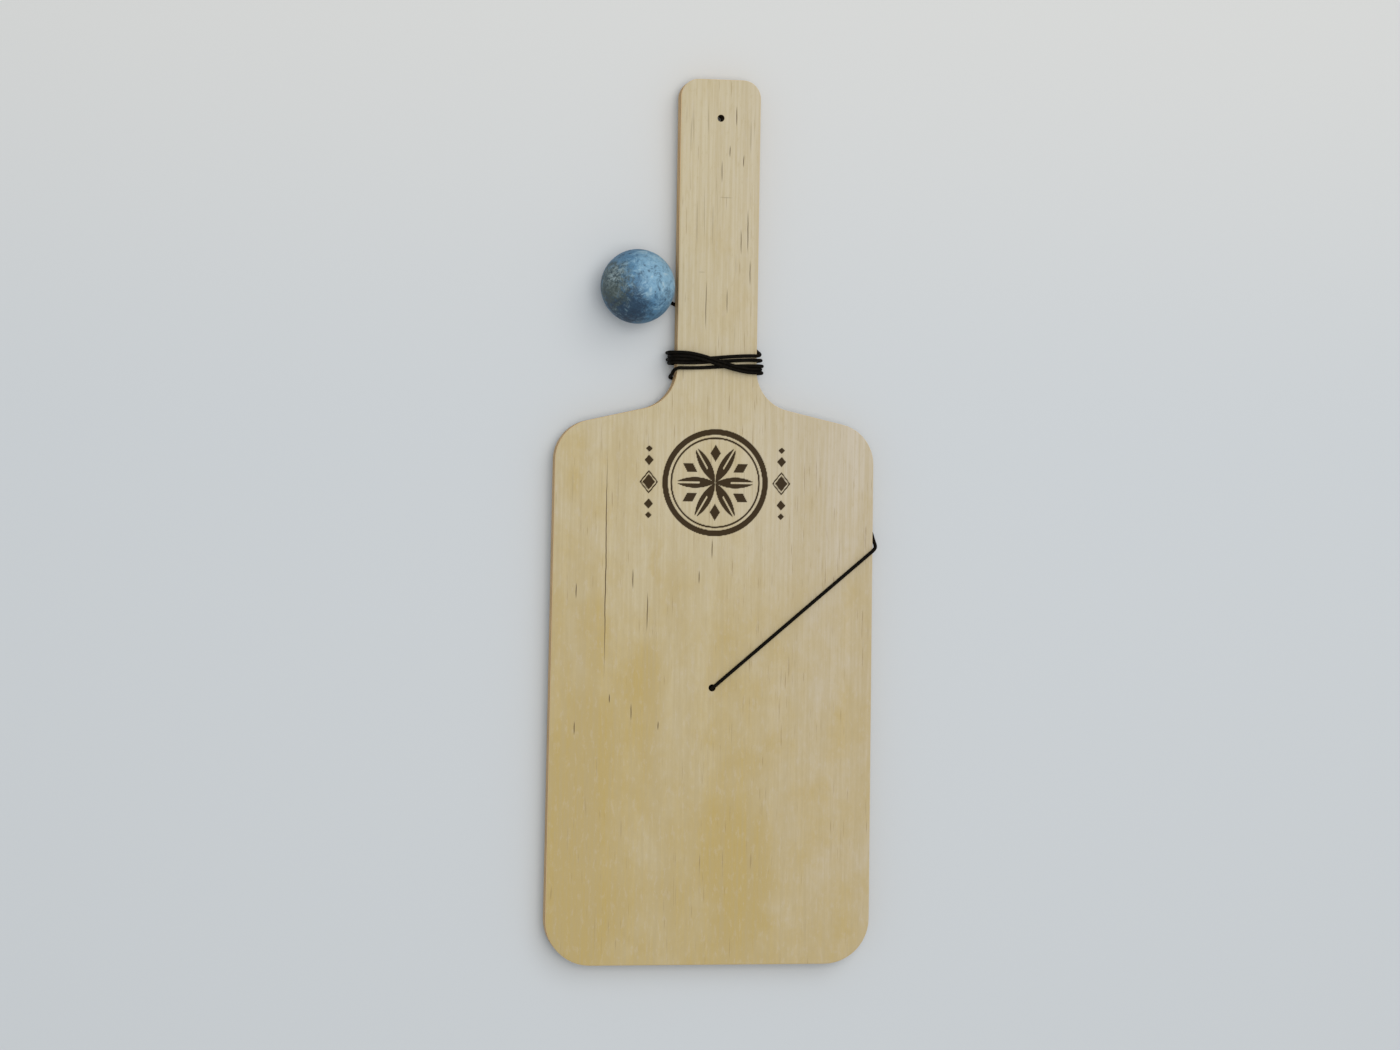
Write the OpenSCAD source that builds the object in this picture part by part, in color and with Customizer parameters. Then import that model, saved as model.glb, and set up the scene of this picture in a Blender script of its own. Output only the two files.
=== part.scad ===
// Paddle ball game: a plywood bat and a rubber ball on one elastic cord.
// The bat lies on its back, with the cord wound round its neck and the ball drawn up beside the handle.
// +Y runs up the handle, +Z is up, and the origin is on the ground under the middle of the bat.

/* [Bat outline] */
// Length of the bat, from its low end to the top of the handle
bat_len = 390; // [370:1:420]
// Width of the blade across its low end
blade_low_w = 145; // [130:1:160]
// Width of the blade across its shoulder corners
blade_high_w = 142; // [130:1:160]
// Height of the shoulder corners above the low end
shoulder_h = 236; // [200:1:240]
// Rise of the shoulder line, from its corner to the side of the handle
shoulder_rise = 12.2; // [4:0.1:20]
// Width of the handle
handle_w = 35.5; // [30:0.5:40]
// Radius of the low corners
low_corner_r = 20; // [5:1:40]
// Radius of the shoulder corners
shoulder_corner_r = 18; // [5:1:30]
// Radius of the hollow between a shoulder and the handle
neck_r = 18; // [8:1:30]
// Radius of the top corners of the handle
handle_corner_r = 8; // [2:0.5:14]

/* [Plywood] */
// Thickness of one veneer, of which there are five
ply_t = 1.8; // [1.2:0.1:2.4]

/* [Holes] */
// Diameter of the hanging hole
hang_hole_d = 3; // [2:0.1:6]
// Distance of the hanging hole below the top of the handle
hang_hole_drop = 17; // [8:1:40]
// Diameter of the hole that the cord comes through
cord_hole_d = 3; // [2.8:0.1:5]
// Height of the cord hole above the low end
cord_hole_h = 122.3; // [100:0.1:150]
// Diameter of the sunk seat for the knot, at the back face
knot_seat_d = 6.6; // [6:0.1:9]
// Depth of the sunk seat for the knot
knot_seat_depth = 1.8; // [1.6:0.1:2.6]

/* [Cord] */
// Diameter of the elastic cord
cord_d = 1.6; // [1.4:0.1:1.8]
// Clearance between the cord and the wood
cord_clear = 0.3; // [0.05:0.05:0.5]
// Height above the low end at which the cord comes round the right edge of the blade
edge_turn_h = 184; // [150:1:200]
// Diameter of the stopper knots
knot_d = 5.2; // [4:0.1:5.6]
// Height of the stopper knots
knot_h = 3.2; // [2.4:0.1:3.3]
// Length of the cut end that sticks out of the blade's knot
tail_len = 5; // [2:0.5:12]
// Direction of that cut end, turned from +X
tail_turn = 235; // [0:5:355]

/* [Winding] */
// Strands across the front of the neck
turns = 5; // [4, 5, 7]
// Spacing of the strands side by side
strand_pitch = 2.2; // [2.15:0.05:2.6]
// Height of the lowest strand above the foot of the handle, at the left edge
winding_left_rise = 13.4; // [11:0.1:20]
// Height of the lowest strand above the foot of the handle, at the right edge
winding_right_rise = 11.8; // [11:0.1:20]
// Radius of the strands' bends round the edges
winding_bend_r = 3.2; // [2:0.1:4]
// Height that the crossing strands climb over the others
crossing_rise = 2.3; // [2.2:0.05:3]

/* [Ball] */
// Diameter of the ball
ball_d = 32.5; // [30:0.5:38]
// Gap between the ball and the side of the handle
ball_side_gap = 2.5; // [1.5:0.1:8]
// Height of the ball's centre above the foot of the handle
ball_rise = 49.7; // [46:0.1:60]
// Clearance of the cord and its knot inside the ball
ball_bore_clear = 0.3; // [0.1:0.05:0.6]
// Depth of the knot's pocket below the far side of the ball
pocket_cover = 3.5; // [2:0.1:8]

/* [Hidden] */

// Overrun of every cut past the face that it opens
over = 1;
// Sides of a smooth circle, and steps along one rounded corner of the bat
round_sides = 64;
corner_steps = 10;

// A strand's bend clears the edge that it goes round: its centre lies in from the edge by the inset,
// and its crest stands off the face by the rise
bend_inset = (winding_bend_r - cord_d / 2 - cord_clear) / sqrt(2);
bend_rise = winding_bend_r - bend_inset;

// Levels of the bat: it lies on the cord that passes under it
ply_count = 5;
strand_low_z = cord_d / 2;
board_low_z = strand_low_z + bend_rise;
board_top_z = board_low_z + ply_count * ply_t;
strand_top_z = board_top_z + cord_clear + cord_d / 2;
crest_z = board_top_z + bend_rise;
low_y = -bat_len / 2;
neck_h = shoulder_h + shoulder_rise;
neck_y = low_y + neck_h;
hole_y = low_y + cord_hole_h;

// Strand order of the winding: each turn moves on by slot_step of the side by side places,
// and reaches the right edge slot_shift places higher than it left the left one
slot_step = 3;
slot_shift = 2;
flat_half = handle_w / 2 - bend_inset;
front_steps = 6;
back_steps = 2;
bend_steps = 4;
winding_sides = 6;
// Shares of a crossing in which a strand climbs over others, and settles on the wood
climb_share = 0.25;
settle_share = 0.3;

// Sides of the straight cords, and the longest step between their rings
cord_sides = 8;
ring_step = 2.9 * cord_d;

// Points of the cord's route, chosen by hand, each list from the place that it follows:
// up from the blade's knot, and over the rim of the cord hole
knot_points = [[-0.45, -0.4, 0]];
rim_points = [[-0.45, -0.4, -2], [-0.25, -0.25, -1], [0.3, 0.3, -0.25], [1.05, 0.9, 0]];
// The end of the slanting stretch over the front, and the turn round the blade's right edge
slant_points = [[-2.78, -2.75, 0]];
edge_top_points = [
    [-2.08, -2.148, 0], [-1.13, -1.3, 0.2], [-0.13, -0.4, 0.2], [0.67, 0.4, -0.28], [1.17, 1.1, -1],
    [1.32, 1.9, -1.85]];
edge_low_points = [
    [1.32, 6.8, 2.5], [1.17, 7.6, 1.65], [0.67, 8.3, 0.95], [-0.13, 9, 0.45], [-1.33, 9.9, 0.1],
    [-2.73, 10.9, 0]];
// The turn from behind the blade up round the left edge of the neck
start_low_points = [
    [-0.24, -6.4, 0], [-1.94, -5.4, 0.2], [-2.84, -5, 0.45], [-3.64, -4.6, 0.95], [-4.19, -4.2, 1.8],
    [-4.34, -3.7, 2.8]];
start_top_points = [
    [-3.74, -2.2, -4.4], [-3.39, -1.4, -2.9], [-3.14, -0.9, -1.8], [-2.54, -0.5, -0.9],
    [-1.64, -0.2, -0.25], [-0.74, 0, 0], [0, 0, 0]];
// The turn from the last strand down round the right edge, and the way up behind the handle
end_top_points = [
    [0, 0, 0], [0.5, 0, 0], [1.3, 0.1, -0.27], [2.26, 0.5, -0.94], [2.96, 1.1, -1.98], [3.2, 1.8, -3.2]];
end_low_points = [[3.2, 4.4, 3.2], [2.96, 5, 1.98], [2.26, 5.6, 0.94], [1.22, 6.1, 0.24], [0, 6.6, 0]];
root_points = [[-1.2, 22.3, 0], [-2.3, 22.8, 0.2], [-3.3, 23.2, 0.7]];

// The ball rests on the ground beside the handle
ball_r = ball_d / 2;
ball_centre = [-(handle_w / 2 + ball_side_gap + ball_r), neck_y + ball_rise, ball_r];
knot_seat_z = ball_r - pocket_cover - knot_h - ball_bore_clear;
pocket_low_z = knot_seat_z - ball_bore_clear;

wood_face = "#cdbb92";
wood_cross = "#8a6a3c";
cord_black = "#17151a";
ball_blue = "#55809f";

function unit(v) = v / norm(v);
function blend(a, b, t) = a + (b - a) * t;
function ease(t) = t * t * (3 - 2 * t);
function turned(v, a) = [v.x * cos(a) - v.y * sin(a), v.x * sin(a) + v.y * cos(a)];

// Points of an arc of radius r that rounds the corner at p, between its neighbours a and b
function corner(a, p, b, r) =
    let (
        to_a = unit(a - p),
        to_b = unit(b - p),
        half = acos(to_a * to_b) / 2,
        centre = p + unit(to_a + to_b) * r / sin(half),
        start = p + to_a * r / tan(half) - centre,
        sweep = (2 * half - 180) * sign(cross(to_a, to_b))
    )
    [for (k = [0 : corner_steps]) centre + turned(start, sweep * k / corner_steps)];

// Corners of the bat's right half from the low end up, each with its radius
half_corners = [
    [blade_low_w / 2, 0, low_corner_r],
    [blade_high_w / 2, shoulder_h, shoulder_corner_r],
    [handle_w / 2, neck_h, neck_r],
    [handle_w / 2, bat_len, handle_corner_r]];
bat_corners = concat(
    half_corners,
    [for (k = [len(half_corners) - 1 : -1 : 0])
        [-half_corners[k].x, half_corners[k].y, half_corners[k].z]]);

function flat(v) = [v.x, v.y];

// The bat's outline, with every corner rounded
bat_outline = [
    for (k = [0 : len(bat_corners) - 1])
        let (
            n = len(bat_corners),
            before = flat(bat_corners[(k + n - 1) % n]),
            after = flat(bat_corners[(k + 1) % n])
        )
        each corner(before, flat(bat_corners[k]), after, bat_corners[k].z)];

// Points along a route, with more added on its long legs so that rings stand close enough
function spaced(route) = concat(
    [for (k = [0 : len(route) - 2])
        let (parts = ceil(norm(route[k + 1] - route[k]) / ring_step))
        for (j = [0 : parts - 1]) blend(route[k], route[k + 1], j / parts)],
    [route[len(route) - 1]]);

function headings(p) = [
    for (k = [0 : len(p) - 1]) unit(p[min(k + 1, len(p) - 1)] - p[max(k - 1, 0)])];

// A direction across the heading h, as near as may be to v
function carried(v, h) = unit(v - (v * h) * h);

// Directions across a route, carried on from ring to ring without a twist
function sides_of(h, first) = [
    for (k = 0, v = carried(first, h[0]); k < len(h);
         k = k + 1, v = k < len(h) ? carried(v, h[k]) : v) v];

// One closed tube of radius r with a ring of n points at each point of p
module tube(p, r, n, first) {
    h = headings(p);
    v = sides_of(h, first);
    points = [
        for (k = [0 : len(p) - 1]) for (j = [0 : n - 1])
            p[k] + r * (cos(360 * j / n) * v[k] + sin(360 * j / n) * cross(h[k], v[k]))];
    walls = [
        for (k = [0 : len(p) - 2]) for (j = [0 : n - 1])
            let (a = k * n + j, b = k * n + (j + 1) % n)
            each [[a, a + n, b], [b, a + n, b + n]]];
    last = (len(p) - 1) * n;
    ends = [for (j = [1 : n - 2]) each [[0, j, j + 1], [last, last + j + 1, last + j]]];
    polyhedron(points = points, faces = concat(walls, ends));
}

// Places of the strands on the two edges, and the climb of those that cross over the others
function left_slot(i) = (slot_step * i) % turns;
function right_slot(i) = (slot_step * i + slot_shift) % turns;
function left_y(i) = neck_y + winding_left_rise + left_slot(i) * strand_pitch;
function right_y(i) = neck_y + winding_right_rise + right_slot(i) * strand_pitch;
function climb(i, t) = left_slot(i) < turns - slot_shift
    ? 0
    : crossing_rise * sin(90 * min(1, min(t, 1 - t) / climb_share));

// Level of a strand that settles from the crests of its bends onto the wood
function settled_z(t) = blend(crest_z, strand_top_z, ease(min(1, min(t, 1 - t) / settle_share)));

// A strand's way across the front, from left to right
function front_pass(i) = [
    for (k = [0 : front_steps])
        let (t = k / front_steps)
        [blend(-flat_half, flat_half, t),
         blend(left_y(i), right_y(i), ease(t)),
         settled_z(t) + climb(i, t)]];

// A quarter bend in the XZ plane at height y, from one angle to another
function bend(x, y, z, from, to, first, last) = [
    for (k = [first : last])
        let (a = blend(from, to, k / bend_steps))
        [x + winding_bend_r * cos(a), y, z + winding_bend_r * sin(a)]];

// A strand's way from the right edge behind the neck to the next place on the left edge
function back_pass(i) =
    let (
        top = crest_z - winding_bend_r,
        low = strand_low_z + winding_bend_r,
        from_y = right_y(i),
        to_y = left_y(i + 1)
    )
    concat(
        bend(flat_half, from_y, top, 90, 0, 1, bend_steps),
        bend(flat_half, from_y, low, 0, -90, 0, bend_steps),
        [for (k = [1 : back_steps - 1])
            let (t = k / back_steps)
            [blend(flat_half, -flat_half, t), blend(from_y, to_y, ease(t)), strand_low_z]],
        bend(-flat_half, to_y, low, -90, -180, 0, bend_steps),
        bend(-flat_half, to_y, top, 180, 90, 0, bend_steps - 1));

wound = [
    for (i = [0 : turns - 1])
        each concat(front_pass(i), i < turns - 1 ? back_pass(i) : [])];

// The winding's centreline, whose two ends run straight for one diameter
winding_route = concat(
    [wound[0], wound[0] + [cord_d, 0, 0]],
    [for (k = [1 : len(wound) - 2]) wound[k]],
    [wound[len(wound) - 1] - [cord_d, 0, 0], wound[len(wound) - 1]]);

// Least gap between strands, measured on points three to a ring, a third of a turn or more apart
fine_parts = 3;
loop_rings = 24;
fine_route = [
    for (k = [0 : len(winding_route) - 2]) for (j = [0 : fine_parts - 1])
        blend(winding_route[k], winding_route[k + 1], j / fine_parts)];
strand_gap = min([
    for (k = [0 : len(fine_route) - 1])
        for (j = [k + loop_rings * fine_parts / 3 : 1 : len(fine_route) - 1])
            norm(fine_route[k] - fine_route[j])]) - cord_d;
echo(strand_gap = strand_gap);

// Half the blade's width at a height above its low end
function blade_half(h) = blend(blade_low_w, blade_high_w, h / shoulder_h) / 2;

// A list of points moved to the place that it is measured from
function from(x, y, z, points) = [for (p = points) [x, y, z] + p];

edge_x = blade_half(edge_turn_h);
edge_y = low_y + edge_turn_h;
start_y = left_y(0);
end_y = right_y(turns - 1);

// Route of the cord from its knot, up through the cord hole and over the front to the right edge
front_route = concat(
    from(0, hole_y, knot_h, knot_points),
    from(0, hole_y, strand_top_z, rim_points),
    from(edge_x, edge_y, strand_top_z, slant_points));

// Route round the right edge, slantwise behind the blade, and up round the left edge of the neck
back_route = concat(
    from(edge_x, edge_y, strand_top_z, slant_points),
    from(edge_x, edge_y, strand_top_z, edge_top_points),
    from(edge_x, edge_y, strand_low_z, edge_low_points),
    from(-flat_half, start_y, strand_low_z, start_low_points),
    from(-flat_half, start_y, crest_z, start_top_points));

// Route from the winding's last strand round the right edge and up behind the handle
handle_route = concat(
    from(flat_half, end_y, crest_z, end_top_points),
    from(flat_half, end_y, strand_low_z, end_low_points),
    from(-flat_half, end_y, strand_low_z, root_points));

// The last stretch of the cord runs from the edge of the handle to the ball's centre
lead_root = handle_route[len(handle_route) - 1];
lead_reach = norm(ball_centre - lead_root);
lead_way = (ball_centre - lead_root) / lead_reach;

// Everything that is bored through the board
module board_cuts() {
    translate([0, low_y + bat_len - hang_hole_drop, board_low_z - over])
        cylinder(d = hang_hole_d, h = ply_count * ply_t + 2 * over, $fn = round_sides);
    translate([0, hole_y, board_low_z - over]) {
        cylinder(d = cord_hole_d, h = ply_count * ply_t + 2 * over, $fn = round_sides);
        cylinder(d = knot_seat_d, h = over, $fn = round_sides);
    }
    translate([0, hole_y, board_low_z])
        cylinder(d1 = knot_seat_d, d2 = cord_hole_d, h = knot_seat_depth, $fn = round_sides);
}

// One veneer of the board, counted from the back
module ply(k) {
    difference() {
        translate([0, low_y, board_low_z + k * ply_t])
            linear_extrude(ply_t) polygon(bat_outline);
        board_cuts();
    }
}

module front_face_ply() {
    color(wood_face) ply(4);
}

module front_cross_ply() {
    color(wood_cross) ply(3);
}

module core_ply() {
    color(wood_face) ply(2);
}

module back_cross_ply() {
    color(wood_cross) ply(1);
}

module back_face_ply() {
    color(wood_face) ply(0);
}

// A drawn-up stopper knot with flat ends, standing on the XY plane
module knot_bead() {
    rotate_extrude($fn = round_sides) {
        translate([knot_d / 2 - knot_h / 2, knot_h / 2])
            intersection() {
                circle(d = knot_h, $fn = round_sides);
                translate([0, -knot_h / 2]) square([knot_h / 2, knot_h]);
            }
        square([knot_d / 2 - knot_h / 2, knot_h]);
    }
}

// The knot under the cord hole, with its cut end lying on the ground
module blade_knot() {
    color(cord_black)
        translate([0, hole_y, 0]) {
            knot_bead();
            translate([0, 0, board_low_z / 2]) rotate([0, 90, tail_turn])
                cylinder(d = cord_d, h = knot_d / 2 + tail_len, $fn = round_sides);
        }
}

module front_cord() {
    color(cord_black) tube(spaced(front_route), cord_d / 2, cord_sides, [1, 0, 0]);
}

module back_cord() {
    color(cord_black) tube(spaced(back_route), cord_d / 2, cord_sides, [0, 0, 1]);
}

module neck_winding() {
    color(cord_black) tube(winding_route, cord_d / 2, winding_sides, [0, 0, 1]);
}

module handle_lead() {
    color(cord_black) tube(spaced(handle_route), cord_d / 2, cord_sides, [0, 0, 1]);
}

// Places its children with their Z axis along the last stretch of the cord, from the ball's centre
module on_lead() {
    translate(ball_centre)
        rotate([0, acos(lead_way.z), atan2(lead_way.y, lead_way.x)])
            children();
}

// The last stretch, from the edge of the handle into the ball and up to its knot
module ball_lead() {
    route = [lead_root + ball_bore_clear * lead_way, ball_centre + pocket_low_z * lead_way];
    color(cord_black) tube(spaced(route), cord_d / 2, cord_sides, [0, 0, 1]);
}

module ball_knot() {
    color(cord_black) on_lead() translate([0, 0, knot_seat_z]) knot_bead();
}

// The ball, bored from the handle's side to a pocket that holds the knot
module ball() {
    bore_d = cord_d + 2 * ball_bore_clear;
    pocket_d = knot_d + 2 * ball_bore_clear;
    color(ball_blue) on_lead()
        difference() {
            sphere(d = ball_d, $fn = round_sides);
            translate([0, 0, -ball_r - over])
                cylinder(d = bore_d, h = ball_r + over + knot_seat_z, $fn = round_sides);
            translate([0, 0, pocket_low_z])
                cylinder(d = pocket_d, h = knot_h + 2 * ball_bore_clear, $fn = round_sides);
        }
}

front_face_ply();
front_cross_ply();
core_ply();
back_cross_ply();
back_face_ply();
blade_knot();
front_cord();
back_cord();
neck_winding();
handle_lead();
ball_lead();
ball_knot();
ball();
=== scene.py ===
"""Looks of the paddle ball game: a plywood bat and a rubber ball on one elastic cord.

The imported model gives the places. The board, the cord, its knots and the ball are made again here
as finer meshes over their solids. All lengths are in metres, in the frame of the model:
+Y runs up the handle, +Z is up, and the floor is at Z = 0.
"""
import logging
import math
from dataclasses import dataclass, field
from enum import Enum

import bmesh
import bpy
import numpy as np
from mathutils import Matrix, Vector


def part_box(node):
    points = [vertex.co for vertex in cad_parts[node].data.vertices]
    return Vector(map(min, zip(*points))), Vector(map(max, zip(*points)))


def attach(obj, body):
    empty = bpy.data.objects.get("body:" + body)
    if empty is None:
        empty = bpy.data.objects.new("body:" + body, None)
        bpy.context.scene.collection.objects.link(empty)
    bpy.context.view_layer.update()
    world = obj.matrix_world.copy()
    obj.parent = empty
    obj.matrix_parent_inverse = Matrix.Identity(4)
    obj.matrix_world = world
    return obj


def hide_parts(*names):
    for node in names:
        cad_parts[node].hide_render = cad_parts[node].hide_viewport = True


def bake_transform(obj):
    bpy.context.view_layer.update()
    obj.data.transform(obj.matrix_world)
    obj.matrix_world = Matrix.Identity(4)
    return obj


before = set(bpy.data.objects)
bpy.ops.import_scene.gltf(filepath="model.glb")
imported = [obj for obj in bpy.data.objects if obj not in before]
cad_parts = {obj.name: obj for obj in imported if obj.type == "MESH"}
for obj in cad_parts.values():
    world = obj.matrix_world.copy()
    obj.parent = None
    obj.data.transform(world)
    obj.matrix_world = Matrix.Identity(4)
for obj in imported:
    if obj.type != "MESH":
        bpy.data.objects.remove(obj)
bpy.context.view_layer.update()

MM = 0.001
TAU = 2 * math.pi
log = logging.getLogger("paddle_ball")


class Grain(Enum):
    """Ways that a veneer's grain can run in the bat."""

    ALONG = "along the bat"
    ACROSS = "across the bat"


class Lay(Enum):
    """Ways that a stretch of the cord lies, in the frame's own words."""

    TAUT = "taut"
    COILED = "coiled"


def ease(t: np.ndarray) -> np.ndarray:
    """Smooth step from 0 to 1: three times the square less twice the cube."""
    t = np.clip(t, 0, 1)
    return t * t * (3 - 2 * t)


def unit(v: np.ndarray) -> np.ndarray:
    """Vectors along the last axis, each divided by its length."""
    return v / np.linalg.norm(v, axis=-1, keepdims=True)


def mesh_object(name: str, points: np.ndarray, faces: list, material: bpy.types.Material,
                sharp_deg: float = 40.0) -> bpy.types.Object:
    """Makes one object at the origin from points and faces.

    Args:
        name: Name of the piece.
        points: Points in the frame of the model, one row each.
        faces: Arrays of faces, each with its own number of corners.
        material: Finish of the whole piece.
        sharp_deg: Angle past which an edge stays sharp.

    Returns:
        The new object, linked to the scene.
    """
    mesh = bpy.data.meshes.new(name)
    polygons = [face for block in faces for face in np.asarray(block).tolist()]
    mesh.from_pydata(points.tolist(), [], polygons)
    mesh.polygons.foreach_set("use_smooth", [True] * len(mesh.polygons))
    mesh.set_sharp_from_angle(angle=math.radians(sharp_deg))
    mesh.materials.append(material)
    mesh.validate()
    piece = bpy.data.objects.new(name, mesh)
    bpy.context.scene.collection.objects.link(piece)
    return piece


def point_values(piece: bpy.types.Object, name: str, values: np.ndarray) -> None:
    """Stores one number for each point of a piece, for its material to read.

    Args:
        piece: Piece that holds them.
        name: Name of the attribute.
        values: One value for each point.
    """
    attribute = piece.data.attributes.new(name, "FLOAT", "POINT")
    attribute.data.foreach_set("value", np.asarray(values, np.float32))


def grid_faces(rows: int, columns: int, closed: bool = False) -> np.ndarray:
    """Quads between the points of a grid that is stored row by row.

    Args:
        rows: Number of rows.
        columns: Points in each row.
        closed: True if each row closes on itself.

    Returns:
        One row of four point numbers for each quad.
    """
    i, j = np.meshgrid(np.arange(rows - 1), np.arange(columns if closed else columns - 1), indexing="ij")
    k = (j + 1) % columns
    quads = np.stack([i * columns + j, i * columns + k, (i + 1) * columns + k, (i + 1) * columns + j], -1)
    return quads.reshape(-1, 4)


def capped_faces(rings: int, sides: int) -> list[np.ndarray]:
    """Faces of a closed tube: quads between its rings, and a fan of triangles at each end.

    Args:
        rings: Number of rings, whose points come first.
        sides: Points in each ring.

    Returns:
        The quads, and the fans round the two end points that follow the rings' points.
    """
    here = np.arange(sides)
    there = (here + 1) % sides
    last, poles = (rings - 1) * sides, rings * sides
    low = np.stack([np.full_like(here, poles), there, here], 1)
    high = np.stack([np.full_like(here, poles + 1), last + here, last + there], 1)
    return [grid_faces(rings, sides, closed=True), low, high]


def settle(piece: bpy.types.Object, body: str, node: str) -> None:
    """Args:
        piece: The finished piece.
        body: Body that carries it.
        node: Solid that it stands for.
    """
    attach(piece, body)
    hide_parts(node)
    log.info("%s: %d points", piece.name, len(piece.data.vertices))


def smooth_route(points: np.ndarray, step: float) -> np.ndarray:
    """Runs one smooth curve through points and spaces it evenly.

    Long legs are first cut into short ones, so that they stay straight. Between two points the curve
    is a cubic with the tangents of the parabolas through each point and its neighbours, over the
    chord length.

    Args:
        points: Points of the route.
        step: Spacing of the result along the curve.

    Returns:
        Points along the curve, about one step apart.
    """
    longest = 3 * MM
    legs = [np.linspace(a, b, max(1, math.ceil(np.linalg.norm(b - a) / longest)), endpoint=False)
            for a, b in zip(points[:-1], points[1:])]
    p = np.vstack(legs + [points[-1:]])
    h = np.linalg.norm(np.diff(p, axis=0), axis=1)
    slope = np.diff(p, axis=0) / h[:, None]
    inner = (h[1:, None] * slope[:-1] + h[:-1, None] * slope[1:]) / (h[1:] + h[:-1])[:, None]
    tangent = np.vstack([slope[:1], inner, slope[-1:]])
    t = np.linspace(0, 1, 24, endpoint=False)[None, :, None]
    a, b = p[:-1, None], p[1:, None]
    u, v = tangent[:-1, None] * h[:, None, None], tangent[1:, None] * h[:, None, None]
    fine = (a * (1 + 2 * t) * (1 - t) ** 2 + u * t * (1 - t) ** 2 + b * t * t * (3 - 2 * t)
            + v * t * t * (t - 1))
    fine = np.vstack([fine.reshape(-1, 3), p[-1:]])
    along = np.concatenate([[0], np.cumsum(np.linalg.norm(np.diff(fine, axis=0), axis=1))])
    marks = np.linspace(0, along[-1], max(2, round(along[-1] / step) + 1))
    return np.stack([np.interp(marks, along, fine[:, k]) for k in range(3)], 1)


def ring_frames(path: np.ndarray, across: np.ndarray) -> tuple[np.ndarray, np.ndarray]:
    """Two directions across a path at each of its points.

    The first is the given direction less its part along the path, and the second is the cross
    product of the path's heading with the first.

    Args:
        path: Points of the path.
        across: A direction that the path never runs along.

    Returns:
        The two arrays of unit vectors.
    """
    heading = unit(np.gradient(path, axis=0))
    first = unit(across - (heading @ across)[:, None] * heading)
    return first, np.cross(heading, first)


class Tree:
    """Adds the nodes of one material or node group, and links them."""

    def __init__(self, tree: bpy.types.NodeTree) -> None:
        """Keeps the tree that the nodes go into."""
        self.tree = tree

    def node(self, kind: str, inputs: dict | None = None, **settings: object) -> bpy.types.Node:
        """Adds one node.

        Args:
            kind: Blender's name for the node's type.
            inputs: What each input is set to, or the socket that feeds it.
            **settings: The node's own options.

        Returns:
            The new node.
        """
        node = self.tree.nodes.new(kind)
        for key, value in settings.items():
            setattr(node, key, value)
        for key, value in (inputs or {}).items():
            self.feed(node.inputs[key], value)
        return node

    def feed(self, socket: bpy.types.NodeSocket, value: object) -> None:
        """Links a socket to another one, or sets its value.

        Args:
            socket: Input that is fed.
            value: The output that feeds it, or what it is set to.
        """
        if isinstance(value, bpy.types.NodeSocket):
            self.tree.links.new(value, socket)
        else:
            socket.default_value = value

    def math(self, operation: str, *values: object) -> bpy.types.NodeSocket:
        """Adds a Math node and returns its result."""
        return self.node("ShaderNodeMath", dict(enumerate(values)), operation=operation).outputs[0]

    def scaled(self, vector: object, x: float, y: float, z: float) -> bpy.types.NodeSocket:
        """A vector times three factors."""
        node = self.node("ShaderNodeVectorMath", {0: vector, 1: (x, y, z)}, operation="MULTIPLY")
        return node.outputs[0]

    def noise(self, vector: object, scale: float, detail: float = 2.0, rough: float = 0.5,
              bend: float = 0.0) -> bpy.types.NodeSocket:
        """Noise from 0 to 1 at a place.

        Args:
            vector: Place that is looked up.
            scale: Waves to the metre.
            detail: Number of finer layers.
            rough: Strength of the finer layers.
            bend: How far the pattern is pushed about.

        Returns:
            The noise's value.
        """
        inputs = {"Vector": vector, "Scale": scale, "Detail": detail, "Roughness": rough,
                  "Distortion": bend}
        return self.node("ShaderNodeTexNoise", inputs).outputs[0]

    def step(self, value: object, low: float, high: float) -> bpy.types.NodeSocket:
        """Smooth step of a value from 0 at low to 1 at high; it falls where low is over high.

        Args:
            value: Number or output that is read.
            low: Value at which the step is 0.
            high: Value at which the step is 1.

        Returns:
            Output of the step.
        """
        flip = low > high
        inputs = {0: value, 1: min(low, high), 2: max(low, high), 3: float(flip), 4: float(not flip)}
        return self.node("ShaderNodeMapRange", inputs, interpolation_type="SMOOTHSTEP").outputs[0]

    def mix(self, a: object, b: object, share: object) -> bpy.types.NodeSocket:
        """Colour between two colours."""
        return self.node("ShaderNodeMix", {0: share, 6: a, 7: b}, data_type="RGBA").outputs[2]

    def layer(self, base: object, tint: object, mask: object, share: float) -> bpy.types.NodeSocket:
        """Colour with a tint laid over it, as strong as a mask times a share."""
        return self.mix(base, tint, self.math("MULTIPLY", mask, share))

    def value(self, name: str) -> bpy.types.NodeSocket:
        """A number stored on the piece's points."""
        return self.node("ShaderNodeAttribute", attribute_name=name).outputs["Fac"]

    def place(self) -> bpy.types.NodeSocket:
        """Place on the piece, in the frame of the model."""
        return self.node("ShaderNodeTexCoord").outputs["Object"]

    def parts(self, vector: object) -> bpy.types.bpy_prop_collection:
        """The three parts of a vector."""
        return self.node("ShaderNodeSeparateXYZ", {0: vector}).outputs

    def bump(self, height: object, strength: float, distance: float) -> bpy.types.NodeSocket:
        """Normal of a surface that rises and falls with a height."""
        inputs = {"Strength": strength, "Distance": distance, "Height": height}
        return self.node("ShaderNodeBump", inputs).outputs[0]


def colour(red: float, green: float, blue: float) -> tuple[float, float, float, float]:
    """Linear colour from the parts of a screen colour.

    Args:
        red: Red part, 0 to 255.
        green: Green part, 0 to 255.
        blue: Blue part, 0 to 255.

    Returns:
        The linear colour, opaque.
    """
    parts = np.array([red, green, blue]) / 255
    linear = np.where(parts <= 0.04045, parts / 12.92, ((parts + 0.055) / 1.055) ** 2.4)
    return (*linear.tolist(), 1.0)


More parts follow.
